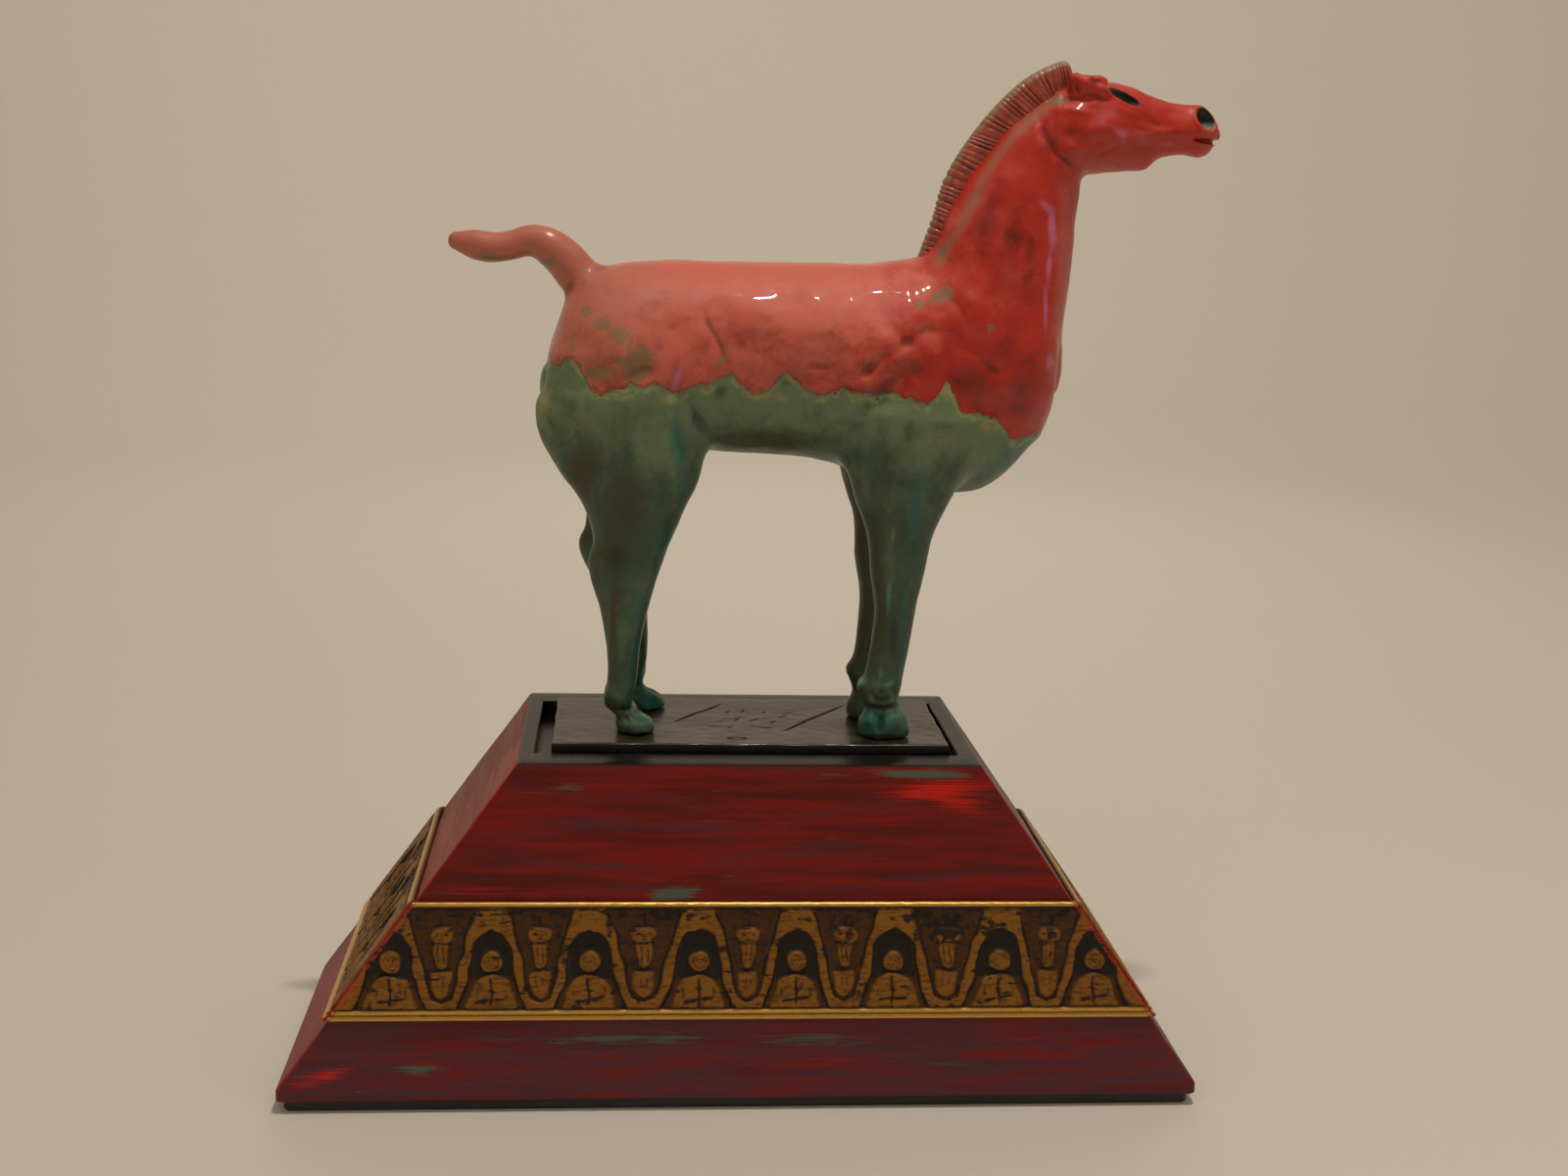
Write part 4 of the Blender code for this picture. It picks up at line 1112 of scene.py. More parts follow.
        # dark marks below the red edge: darker glaze, partly painted shade round the hooves
        marks_and_shade = mixer.reading("dark").rise(0.25, 0.95) * 0.75 * edge.rise(-12.0, -35.0)
        night = (cloud * 0.5 + runs * 0.5).rise(0.02, 0.22) * 0.45 + marks_and_shade
        return mixer.layers(
            mixer.blend(colour, self.night, night),
            # pale spots: paler glaze, partly painted highlights on the hooves and legs
            (mixer.blend(self.leaf, self.straw, edge.rise(-110.0, -60.0)),
             mixer.reading("pale") + cloud * 0.9 + fine * 0.5, 0.30, 1.2, 0.75),
            # painted shade: the hollows of the skin are painted dark
            (self.night, mixer.reading("hollow"), 0.20, 1.5, 0.6))

    def mix(self) -> bpy.types.Material:
        """Returns the glaze."""
        mixer = Mixer("horse_glaze")
        place = mixer.place()
        cloud = mixer.noise(place, 0.0060, 3.0, 0.6)
        fine = mixer.noise(place, 0.0012, 2.0, 0.5)
        edge = mixer.reading("glaze_edge") + (cloud - 0.5) * 11.0 + (fine - 0.5) * 2.4
        red_share = edge.rise(-0.4, 0.5)
        colour = mixer.blend(self._green(mixer, place), self._red(mixer, place), red_share)
        fringe = edge.peak(-2.0, 3.0) * cloud.rise(0.38, 0.58)
        colour = mixer.blend(colour, self.straw, fringe * 0.6)
        lip = edge.peak(0.6, 1.4)
        colour = mixer.blend(colour, self.deep, lip * 0.45)
        eye = self._oval(mixer, EYE, 1.0, 6.0)
        colour = mixer.blend(colour, self.eye_glaze, eye)
        # painted shade: the nostril's hole is painted near black inside, greyer low down
        nostril = self._oval(mixer, NOSTRIL, 1.0, 1.0)
        _, _, z = mixer.parts(place)
        low = (z * 1000.0).rise(NOSTRIL.z + self.sole - 1.0, NOSTRIL.z + self.sole - 4.5)
        inside = mixer.blend(self.nostril_shade, self.ash, low * cloud.rise(0.4, 0.55))
        colour = mixer.blend(colour, inside, nostril)
        grain = mixer.noise(place, 0.0032, 3.0, 0.55)
        height = grain * 0.6 + fine * 0.2 + red_share * 0.35
        rough = 0.46 + cloud * 0.16
        coat = (0.30 + red_share * 0.28) * (1 - eye * 0.9)
        return mixer.finish(Base_Color=colour, Roughness=rough, Coat_Weight=coat, Coat_Roughness=0.04,
                            Specular_IOR_Level=0.3, Normal=mixer.bump(height, 0.0004, 0.6))


@dataclass
class Mane:
    """The clipped crest: a thin plate whose strands lie across it, rounded ridges between sharp notches."""

    sole: float
    strands: int = 44
    thickness: float = 6.0
    tip: float = 3.2
    root: float = 4.0
    steps: int = 14
    rise: int = 22

    def build(self) -> bpy.types.Object:
        """Sweeps a plate's outline along the crest.

        Along the crest runs a phase with one turn for each strand. A strand's ridge is the square root of
        half a sine, so that it is round on top and sharp in the notch. The outline goes up one side and down
        the other.
        """
        table = resample(MANE, 24)
        length = np.r_[0, np.cumsum(np.hypot(*np.diff(table[:, 2:], axis=0).T))]
        where = np.linspace(0, length[-1], self.strands * self.steps + 1)
        foot = np.stack([np.interp(where, length, table[:, c]) for c in (0, 1)], -1)
        edge = np.stack([np.interp(where, length, table[:, c]) for c in (2, 3)], -1)
        share = where / length[-1]
        wobble = ripple(share[:, None] * 100, 9.0, 21) * 0.16
        phase = share * self.strands + wobble
        ends = ease(share, 0.0, 0.03) * ease(1 - share, 0.0, 0.02)
        tall = np.hypot(*(edge - foot).T)
        up = (edge - foot) / tall[:, None]
        levels = np.r_[np.linspace(0, 0.93, self.rise), 0.97, 1.0]
        levels = np.r_[levels, levels[::-1][1:]]
        side = np.r_[-np.ones(self.rise + 1), 0, np.ones(self.rise + 1)]
        slant = phase[:, None] + 0.55 * levels[None, :] * ripple(share[:, None] * 100, 30.0, 4)[:, None]
        ridge = np.abs(np.sin(np.pi * slant)) ** 0.6
        body = 0.10 + 0.78 * ease(levels, 0.12, 0.36) * (1 - 0.8 * ease(levels, 0.70, 0.90))
        depth = body[None, :] * (0.85 + 0.4 * ripple(where[:, None], 11, 8))[:, None]
        width = np.interp(levels, (0, 0.2, 0.6, 0.9, 1.0), (self.thickness, 5.6, 5.2, self.tip + 0.6, 1.6))
        cut = (1 - ridge) * depth * ends[:, None]
        half = np.maximum(width[None, :] - cut, 0.3)
        grow = tall[:, None] * levels[None, :] - self.root * (levels == 0)[None, :]
        jag = 0.25 + 0.9 * (1 - ease(share, 0.26, 0.40)) * ease(share, 0.04, 0.12)
        grow = grow - ease(levels, 0.6, 1.0)[None, :] * (1 - ridge) * (jag * ends)[:, None]
        x = foot[:, None, 0] + up[:, None, 0] * grow
        z = foot[:, None, 1] + up[:, None, 1] * grow
        y = side[None, :] * half
        points = np.stack([x, y, z + self.sole], -1).reshape(-1, 3)
        around = len(levels)
        spread = np.broadcast_to(levels[None, :], half.shape)
        readings = {"notch": (cut / 1.2).ravel(), "level": spread.ravel()}
        return make_piece("mane", points, tube_faces(len(where), around), [],
                          ManeGlaze(self.sole).mix(), readings)


@dataclass(frozen=True)
class ManeGlaze:
    """Duller red glaze, grey-green along the outer edge and the foot, with painted shade in the notches."""

    sole: float
    brick: Colour = pigment(172, 76, 56)
    rust: Colour = pigment(142, 50, 36)
    pit: Colour = pigment(78, 26, 18)
    sage: Colour = pigment(138, 114, 86)

    def mix(self) -> bpy.types.Material:
        """Returns the glaze."""
        mixer = Mixer("mane_glaze")
        place = mixer.place()
        cloud = mixer.noise(place, 0.006, 3.0, 0.6)
        fine = mixer.noise(place, 0.0012, 2.0, 0.6)
        level = mixer.reading("level")
        colour = mixer.layers(
            self.brick,
            (self.rust, cloud, 0.35, 0.65, 1.0),
            # painted shade in the notches between the strands
            (self.pit, mixer.reading("notch") + (fine - 0.5) * 0.25, 0.08, 0.70, 0.75),
            (self.sage, level + (cloud - 0.5) * 0.30, 0.80, 0.93, 0.75),
            (self.sage, level + (cloud - 0.5) * 0.12, 0.18, 0.08, 0.7))
        return mixer.finish(Base_Color=colour, Roughness=0.38 + cloud * 0.2, Coat_Weight=0.5,
                            Coat_Roughness=0.12, Normal=mixer.bump(fine * 0.5 + cloud * 0.5, 0.0003, 0.5))


class Side(Enum):
    """The plinth's four leaning faces."""

    FRONT = "front"
    BACK = "back"
    LEFT = "left"
    RIGHT = "right"


@dataclass(frozen=True)
class PlinthSizes:
    """The plinth's sizes in millimetres, as its CAD solid has them."""

    width: float
    depth: float
    foot: float
    top: float
    rim_width: float
    rim_depth: float
    lip: float = 6.0

    @classmethod
    def read(cls) -> "PlinthSizes":
        """Reads the outer sizes from the frame, and the rim from the solid's highest points."""
        low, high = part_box("plinth")
        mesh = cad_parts["plinth"].data
        places = np.empty(len(mesh.vertices) * 3, np.float32)
        mesh.vertices.foreach_get("co", places)
        places = places.reshape(-1, 3)
        rim = places[places[:, 2] > high.z - 1e-5]
        half_x, half_y = np.abs(rim[:, 0]).max(), np.abs(rim[:, 1]).max()
        return cls((high.x - low.x) / MM, (high.y - low.y) / MM, low.z / MM, high.z / MM,
                   float(2 * half_x / MM), float(2 * half_y / MM))

    def _half(self, z: Array, full: float, rim: float) -> Array:
        """Half a size at a height, between the lip's full size and the rim's."""
        share = (z - self.foot - self.lip) / (self.top - self.foot - self.lip)
        return full / 2 - (full - rim) / 2 * share

    def half_width(self, z: Array) -> Array:
        """Half width at a height, between the leaning ends."""
        return self._half(z, self.width, self.rim_width)

    def half_depth(self, z: Array) -> Array:
        """Half depth at a height, between the leaning front and back."""
        return self._half(z, self.depth, self.rim_depth)

    def on_face(self, side: Side, u: Array, z: Array, stand: Array) -> Points:
        """Points on a leaning face: u along it, at a height, standing off it."""
        tall = self.top - self.foot - self.lip
        lean_end = math.hypot(1, (self.width - self.rim_width) / 2 / tall)
        lean_side = math.hypot(1, (self.depth - self.rim_depth) / 2 / tall)
        if side in (Side.FRONT, Side.BACK):
            sign = -1 if side is Side.FRONT else 1
            out = self.half_depth(z) + stand * lean_side
            return np.stack(np.broadcast_arrays(-sign * u, sign * out, z), -1)
        sign = -1 if side is Side.LEFT else 1
        out = self.half_width(z) + stand * lean_end
        return np.stack(np.broadcast_arrays(sign * out, sign * u, z), -1)

    def reach(self, side: Side, z: Array, stand: Array) -> Array:
        """How far along a face its mitre is."""
        if side in (Side.FRONT, Side.BACK):
            return np.abs(self.on_face(Side.RIGHT, np.zeros_like(z), z, stand)[..., 0]) - 0.3
        return np.abs(self.on_face(Side.BACK, np.zeros_like(z), z, stand)[..., 1]) - 0.3


# Black smears on the front strip: place along and up, half sizes, turn and strength
STAINS = spots(BOTH, (98, 47, 11, 8, 0, 1.0), (84, 52, 9, 4, 0, 0.9), (122, 45, 7, 6, 0, 0.8),
               (-40, 53, 16, 2.5, 0, 0.8))


def outline(v: Array, levels: Sequence[float], widths: Sequence[float]) -> Array:
    """Half width of a form at each height, smooth between given ones, and negative past its ends."""
    within = np.clip(v, levels[0], levels[-1]).ravel()
    inner = through(np.array(widths, float), np.array(levels, float), within).reshape(v.shape)
    return inner - np.maximum(levels[0] - v, 0) * 2 - np.maximum(v - levels[-1], 0) * 2


def plateau(inside: Array, edge: float) -> Array:
    """0 outside a form, 1 well inside it, with a rounded shoulder as wide as the edge."""
    return ease(inside, -edge / 2, edge)


def marks(across: Array, up: Array, *rows: tuple[float, ...]) -> Array:
    """Sum of dark ovals, each a bell across times a bell up.

    Args:
        across: distance from the form's middle line.
        up: height on the strip.
        rows: strength, then place, half size and power across, then the same three up. An even power of 2
            gives a round mark, and 4 or 6 a squarer one.

    Returns:
        How dark each point is.
    """
    return sum(dark * bell(across - x, wide, power_x) * bell(up - z, tall, power_z)
               for dark, x, wide, power_x, z, tall, power_z in rows)


@dataclass
class Frieze:
    """One gilt strip: a ribbon waves over seated figures and under hanging masks, between beads."""

    side: Side
    plinth: PlinthSizes
    rise: float = 42.0
    height: float = 60.0
    thickness: float = 1.2
    relief: float = 1.25
    bead: float = 1.2
    pitch: float = 49.7
    cell: float = 0.62
    seed: int = 1
    end_share: float = 0.988
    shifts: tuple[float, ...] = (0.0, -0.7, -3.6, 1.2, -0.8, -2.4, 2.0, 0.0)
    stains: tuple[Swell, ...] = ()

    def _phase(self, u: Array) -> tuple[Array, int]:
        """Place along the pattern, with a figure at every whole pitch, and how many bays there are."""
        middle = np.array([self.rise + self.plinth.foot + self.height / 2])
        reach = float(self.plinth.reach(self.side, middle, np.array([0.3]))[0])
        bays = int(2 * reach / self.pitch) + 1
        even = (np.arange(bays) - (bays - 1) / 2) * self.pitch
        moved = even + np.resize(self.shifts, bays)
        before, after = moved[0] - 10 * self.pitch, moved[-1] + 10 * self.pitch
        spots = np.r_[before, moved, after]
        phases = np.r_[even[0] - 10 * self.pitch, even, even[-1] + 10 * self.pitch]
        return np.interp(u, spots, phases) - even[0], bays

    def pattern(self, u: Array, v: Array) -> tuple[Array, Array]:
        """Height of the relief in millimetres, and how black it is, at places along and up the strip."""
        flat = np.stack([u, v], -1)
        bend = ripple(flat, 14.0, self.seed) * 0.45
        lift = ripple(flat, 17.0, self.seed + 1) * 0.40
        phase, bays = self._phase(u + bend)
        v = v + lift
        bay = np.clip(np.round(phase / self.pitch), 0, bays - 1)
        stretch = self.pitch / 45.5
        du = (phase - bay * self.pitch) / stretch
        gap = np.clip(np.floor(phase / self.pitch), 0, bays - 2) if bays > 1 else np.zeros_like(phase)
        dm = (phase - (gap + 0.5) * self.pitch) / stretch
        niche = outline(v, (0, 6, 12, 18, 24, 30, 36, 41, 44.5, 46.5),
                        (16.4, 15.3, 13.3, 11.2, 9.9, 9.3, 8.5, 6.6, 3.8, 0))
        bowl = outline(v, (9.5, 11, 14, 18, 24, 30, 36, 42, 48, 54, 58),
                       (0, 3.2, 5, 6.1, 7, 8.3, 9.7, 11.1, 12.7, 14.5, 15.8))
        in_niche, in_bowl = niche - np.abs(du), bowl - np.abs(dm)
        ground = np.where(in_niche > 0, 0.2, 0.4)
        ribbon = plateau(-in_niche, 1.6) * plateau(-in_bowl, 1.6)
        height = ground + (self.relief - ground) * ribbon
        thick = 1 + 0.35 * ripple(flat, 11.0, self.seed + 4)
        black = bell(in_niche, 0.85 * thick) * (v < 45) + 0.95 * bell(in_bowl, 0.75 * thick) * (v < 55)
        figure, mark = self._figure(du, v)
        show = ease(in_niche, 0.6, 1.6)
        height = np.maximum(height, figure * show)
        shadow = ease(in_niche, 0.3, 1.2) * (figure < 0.35) * ease(v, 15.0, 25.0)
        black = np.maximum(black, np.maximum(shadow, mark * show))
        mask, scar = self._mask(dm, v)
        show = ease(in_bowl, 0.5, 1.4)
        height = np.maximum(height, mask * show)
        black = np.maximum(black, np.maximum(scar, 0.42 * (mask < 0.35)) * show)
        height = height - 0.75 * black
        smudge = ripple(flat, 26.0, self.seed + 5) + 0.6 * ripple(flat, 7.0, self.seed + 6)
        black = np.maximum(black, 0.7 * ease(smudge, 0.75, 1.7))
        streak = ripple(flat * (0.35, 1.6), 7.0, self.seed + 7) + 0.5 * ripple(flat, 5.0, self.seed + 8)
        top = ease(v, 47, 54)
        black = np.maximum(black, 0.75 * ease(streak + 0.9 * top, 1.1, 1.8))
        for stain in self.stains:
            rough = 1 + 0.6 * ripple(flat, 6.0, self.seed + 12)
            black = np.maximum(black, stain.height * ease(stain.share(u, v) * rough, 0.25, 0.75))
        height = height + 0.07 * ripple(flat, 4.0, self.seed + 2) + 0.05 * ripple(flat, 1.9, self.seed + 3)
        return height, np.clip(black, 0, 1)

    def _figure(self, du: Array, v: Array) -> tuple[Array, Array]:
        """A seated figure: a round head with a ringed blank face over a cloak parted down the middle."""
        head = 5.3 - np.hypot(du, (v - 29.8) * 0.95)
        cloak = outline(v, (1.5, 6, 12, 17, 21, 24.2), (12.4, 12.2, 10.9, 9.3, 7.0, 0)) - np.abs(du)
        height = 1.15 * np.maximum(plateau(head, 1.5), plateau(cloak, 1.6))
        spots_black = marks(
            np.abs(du), v, (0.8, 1.1, 0.6, 2, 30.3, 0.55, 2), (0.6, 0, 0.9, 2, 28.0, 0.4, 2),
            (0.7, 6.4, 2.6, 4, 4.6, 0.7, 2), (0.55, 6.8, 0.65, 2, 14.5, 2.8, 4),
            (0.95, 0, 5.6, 4, 24.0, 0.8, 2))
        ring = bell(np.hypot(du / 0.85, v - 29.6) - 3.3, 0.45)
        rim = bell(head + 0.5, 0.75) * (v > 24)
        part = bell(du, 0.7) * span(v, 6, 9, 21, 23)
        hands = bell(np.abs(du) - 3.6, 2.9, 4) * bell(v - 10.4 - 0.14 * du, 1.0)
        knot = bell(du, 2.4, 4) * bell(v - 15.6 + 0.2 * du, 0.7)
        black = spots_black + 0.6 * ring + 0.8 * rim + 0.9 * part + hands + 0.7 * knot
        return height, np.clip(black, 0, 1)

    def _mask(self, dm: Array, v: Array) -> tuple[Array, Array]:
        """A hanging mask: a broad blank face with a spike above, a fluted beard and a round pouch below."""
        across = np.abs(dm)
        face = 1 - np.sqrt((across / 5.9) ** 2.6 + (np.abs(v - 43.3) / 3.7) ** 2.6)
        beard = outline(v, (27.2, 31, 36, 40.5), (2.2, 3.0, 3.5, 3.9)) - across
        pouch = outline(v, (11.0, 12.4, 15, 19, 24.2), (0, 2.5, 4.2, 4.9, 5.1)) - across
        height = 1.1 * np.maximum.reduce([plateau(face * 4.5, 1.3), plateau(beard, 1.1), plateau(pouch, 1.3)])
        spots_black = marks(
            across, v, (0.8, 2.4, 1.0, 2, 43.7, 0.75, 2), (0.6, 0, 0.4, 2, 42.4, 1.2, 4),
            (0.6, 0, 1.8, 4, 41.0, 0.4, 2), (0.85, 0, 5.0, 6, 47.6, 0.6, 2), (0.8, 0, 5.0, 4, 39.3, 0.55, 2),
            (0.95, 0, 4.8, 6, 25.6, 0.95, 2), (0.6, 1.3, 0.4, 2, 19.5, 3.2, 4))
        spike = bell(dm, 0.9 - 0.5 * ease(v, 48, 54)) * span(v, 47, 48, 53, 55)
        flutes = bell(across - 1.2, 0.38) * span(v, 28, 30, 37, 39)
        sides = bell(beard + 0.7, 0.6) * span(v, 25, 27, 39, 41)
        rim = bell(pouch + 0.5, 0.55) * (v < 24)
        black = spots_black + 0.85 * spike + 0.75 * flutes + 0.6 * sides + 0.7 * rim
        return height, np.clip(black, 0, 1)

    def build(self) -> bpy.types.Object:
        """Carries the strip's outline along the face: up its carved front, and down its flat back."""
        levels = np.linspace(0, self.height, round(self.height / self.cell) + 1)
        foot = self.plinth.foot + self.rise
        mid_height = np.array([foot + self.height / 2])
        middle = self.plinth.reach(self.side, mid_height, np.array([self.thickness]))[0]
        stations = np.linspace(-1, 1, 2 * round(middle / self.cell) + 1)
        reach = self.plinth.reach(self.side, foot + levels, np.full(len(levels), self.thickness))
        u = stations[:, None] * reach[None, :]
        v = np.broadcast_to(levels[None, :], u.shape)
        height, black = self.pattern(u, v)
        clear = span(v, 5.4, 6.6, 56.4, 57.4)
        beads = np.zeros_like(v)
        for centre in (self.height - 1.3, 4.3, 1.4):
            beads = np.maximum(beads, np.sqrt(np.maximum(0, self.bead ** 2 - (v - centre) ** 2)) * 1.25)
        beads = beads * (1 + 0.05 * ripple(u[..., None], 9.0, self.seed + 9))
        height = height * clear + beads
        line = bell(v - 56.2, 0.45) + bell(v - 6.4, 0.55) + bell(v - 2.85, 0.3)
        black = np.clip(black * clear + 0.85 * line, 0, 1) * (beads < 0.9)
        front = self.plinth.on_face(self.side, u, foot + v, self.thickness + height)
        ends = self.plinth.reach(self.side, foot + levels[[-1, 0]], np.full(2, 0.3))
        back = self.plinth.on_face(self.side, stations[:, None] * ends[None, :],
                                   foot + levels[[-1, 0]][None, :], np.full((len(stations), 2), 0.3))
        rings = np.concatenate([front, back], 1)
        end = (np.abs(stations[:, None]) > self.end_share) * np.ones_like(v)
        readings = {"relief": backed(height), "black": backed(black), "bead": backed((beads > 0.35) * 1.0),
                    "end": backed(end)}
        faces = tube_faces(len(stations), rings.shape[1], inward=True)
        return make_piece(f"frieze_{self.side.value}", rings.reshape(-1, 3), faces,
                          [f"band_{self.side.value}"], Gilt().mix(self.side), readings)


@dataclass(frozen=True)
class Gilt:
    """Ochre gilt worn over black: bright on the beads, dull on the relief, black in every hollow."""

    ochre: Colour = pigment(148, 98, 26)
    umber: Colour = pigment(82, 48, 12)
    black: Colour = pigment(14, 9, 6)
    bright: Colour = pigment(240, 190, 96)
    red: Colour = pigment(170, 44, 26)

    def mix(self, side: Side) -> bpy.types.Material:
        """Returns the gilt for one strip."""
        mixer = Mixer(f"gilt_{side.value}")
        place = mixer.place()
        cloud = mixer.noise(place, 0.009, 4.0, 0.65)
        fine = mixer.noise(place, 0.0011, 3.0, 0.6)
        wipe = mixer.noise(place, (0.006, 0.006, 0.0016), 3.0, 0.6)
        colour = mixer.layers(
            self.umber,
            (self.ochre, mixer.reading("relief") + (cloud - 0.5) * 1.8, 0.2, 1.25, 1.0),
            (self.umber, wipe, 0.45, 0.70, 0.7))
        bead = mixer.reading("bead")
        colour = mixer.blend(colour, self.bright, bead * (0.55 + fine * 0.5))
        worn = mixer.noise(place, 0.0032, 4.0, 0.7)
        black = mixer.reading("black") + (fine - 0.5) * 0.8 + (wipe - 0.5) * 0.8 + (worn - 0.5) * 1.1
        black = black.rise(0.26, 0.80)
        colour = mixer.blend(colour, self.black, black * 0.95)
        end = mixer.reading("end") * wipe.rise(0.38, 0.52)
        colour = mixer.blend(colour, self.red, end * 0.85)
        metal = (0.45 + bead * 0.45) * (1 - black) * (1 - end)
        rough = 0.42 + cloud * 0.2 + black * 0.2 - bead * 0.22
        return mixer.finish(Base_Color=colour, Metallic=metal, Roughness=rough,
                            Normal=mixer.bump(fine * 0.5 + wipe * 0.5, 0.0003, 0.5))


@dataclass
class Block:
    """A lofted block: rounded rectangles carried up a profile and down into a recess."""

    name: str
    slot: str
    replaced: tuple[str, ...]
    long_steps: int = 120
    short_steps: int = 44
    corner_steps: int = 5

    def ring(self, low: Sequence[float], high: Sequence[float], corner: float) -> Array:
        """A rounded rectangle between two corners (x, y), anticlockwise, with even steps on its sides."""
        turns = ((high, 1, 1), ((low[0], high[1]), -1, 1), (low, -1, -1), ((high[0], low[1]), 1, -1))
        bends = []
        for number, ((x, y), sign_x, sign_y) in enumerate(turns):
            angle = math.pi / 2 * (number + np.linspace(0, 1, self.corner_steps))
            bends.append(np.stack([x - sign_x * corner + corner * np.cos(angle),
                                   y - sign_y * corner + corner * np.sin(angle)], -1))
        runs = []
        for number, bend in enumerate(bends):
            steps = self.short_steps if number % 2 else self.long_steps
            share = np.linspace(0, 1, steps + 1)[1:-1, None]
            runs += [bend, bend[-1] + (bends[(number + 1) % 4][0] - bend[-1]) * share]
        return np.concatenate(runs)

    def loft(self, profile: Sequence[tuple[Sequence[float], Sequence[float], float, float]]) -> Points:
        """Rings from a profile of (low corner, high corner, corner radius, height)."""
        rings = [np.column_stack([self.ring(low, high, corner), np.full(self.around, z)])
                 for low, high, corner, z in profile]
        return np.stack(rings)

    @property
    def around(self) -> int:
        """How many points a ring has."""
        return 4 * self.corner_steps + 2 * (self.long_steps - 1) + 2 * (self.short_steps - 1)


def centred(half_x: float, half_y: float, corner: float, z: float) -> tuple:
    """A profile entry for a rectangle round the middle."""
    return ((-half_x, -half_y), (half_x, half_y), corner, z)


@dataclass
class Plinth(Block):
    """The painted plinth: a low lip, leaning faces, a black rim and the recess that the slab lies in."""

    sizes: PlinthSizes = field(default_factory=PlinthSizes.read)
    recess: float = 8.0
    edge: float = 0.9
    gap_left: float = 8.0
    gap_right: float = 3.5
    gap_side: float = 4.5
    end_shift: float = 900.0
    far_shift: float = 400.0
    lean_rings: int = 46

    def build(self, slab_low: Vector, slab_high: Vector) -> bpy.types.Object:
        """Lofts the plinth round the slab's recess.

        Args:
            slab_low: the slab's lowest corner, in metres.
            slab_high: its highest corner.
        """
        s = self.sizes
        inner_low = np.array([slab_low.x / MM - self.gap_left, slab_low.y / MM - self.gap_side])
        inner_high = np.array([slab_high.x / MM + self.gap_right, slab_high.y / MM + self.gap_side])
        lip = s.foot + s.lip
        profile = [centred(s.width / 2 - 1.0, s.depth / 2 - 1.0, 2.2, s.foot),
                   centred(s.width / 2, s.depth / 2, 2.6, s.foot + 0.8),
                   centred(s.width / 2, s.depth / 2, 2.6, lip - 0.6)]
        first = len(profile)
        last = first + self.lean_rings
        for z in np.linspace(lip + 0.6, s.top - 0.9, self.lean_rings):
            corner = 2.6 - 1.2 * (z - lip) / (s.top - lip)
            half_x, half_y = float(s.half_width(z)), float(s.half_depth(z))
            profile.append(centred(half_x, half_y, corner, z))
        top_x, top_y = s.rim_width / 2, s.rim_depth / 2
        rim = np.array([top_x - self.edge, top_y - self.edge])
        profile += [centred(top_x - 0.1, top_y - 0.1, 1.4, s.top - 0.25), centred(*rim, 1.2, s.top)]
        for share in (0.33, 0.66):
            profile.append((inner_low * share - rim * (1 - share), inner_high * share + rim * (1 - share),
                            1.1, s.top))
        for inset, z in ((-0.5, s.top), (0.0, s.top - 0.5), (0.0, s.top - 4), (0.0, s.top - self.recess)):
            profile.append((inner_low + inset, inner_high - inset, 1.0, z))
        rings = self.loft(profile)
        flat = rings.reshape(-1, 3)
        level = np.repeat(np.arange(len(profile)), self.around)
        leaning = (level >= first) & (level < last)
        soft = 0.10 * ripple(flat, 46, 31) + 0.05 * ripple(flat, 12, 32)
        beyond = self._beyond(flat)
        ends = beyond > 0
        push = np.where(leaning, np.minimum(soft - 0.18, 0), 0)
        out_x, out_y = np.sign(flat[:, 0]), np.sign(flat[:, 1])
        flat[:, 0] += push * out_x * ends
        flat[:, 1] += push * out_y * ~ends
        along = np.where(ends, flat[:, 1] * out_x, -flat[:, 0] * out_y)
        shift = self.end_shift * ends + self.far_shift * np.where(ends, out_x, out_y)
        face = np.stack([along + shift, flat[:, 2], np.zeros(len(flat))], -1) * MM
        readings = {"rim": (level >= last) * 1.0, "end": ends * 1.0, "face": face,
                    "up": (flat[:, 2] - s.foot) / (s.top - s.foot), "arris": np.abs(self._beyond(flat)),
                    "rightward": out_x * ends}
        for stroke, patches in STROKES.items():
            shares = [patch.height * patch.share(flat[:, 0], flat[:, 2]) for patch in patches]
            readings[stroke] = np.maximum.reduce(shares) * (flat[:, 1] < 0) * ~ends
        return make_piece("plinth_body", flat, tube_faces(len(profile), self.around),
                          self.replaced, BrushedPaint().mix(), readings, sharp=40)

    def _beyond(self, points: Points) -> Array:
        """How much further out of the ends than of the front and back a point is: 0 on a leaning corner."""
        s = self.sizes
        z = np.clip(points[:, 2], s.foot + s.lip, s.top)
        return (np.abs(points[:, 0]) - s.half_width(z)) - (np.abs(points[:, 1]) - s.half_depth(z))


# Strokes of the front face by colour: place along, height, half sizes, slant and strength
STROKES = {
    "ember": spots(
        BOTH,
        (92, 163, 30, 5, 4, 0.95), (104, 156, 18, 4, -4, 0.7), (72, 146, 20, 3, 6, 0.3),
        (-128, 112, 36, 2.4, 0, 0.7), (-108, 121, 16, 2.4, -3, 0.4), (-205, 20, 20, 4, 14, 0.7),
        (-70, 30, 40, 3, 0, 0.25), (60, 26, 50, 4, 0, 0.25), (140, 36, 40, 4, 0, 0.3),
        (20, 118, 60, 3, 0, 0.25), (-20, 150, 30, 3, 3, 0.2),
    ),
    "sea": spots(
        BOTH,
        (86, 172.5, 26, 2.4, 0, 1.0), (40, 172, 14, 1.6, 0, 0.6), (-36, 112, 15, 3.0, 3, 1.0),
        (-12, 116, 12, 1.6, 0, 0.6), (40, 140, 9, 1.6, 0, 0.8), (-160, 22, 18, 2.2, 0, 0.9),
        (-60, 38, 60, 3.4, 0, 0.7), (30, 36, 40, 3, 0, 0.6), (110, 22, 30, 2.4, 0, 0.5),
        (-90, 164, 14, 2, 4, 0.5),
    ),
}


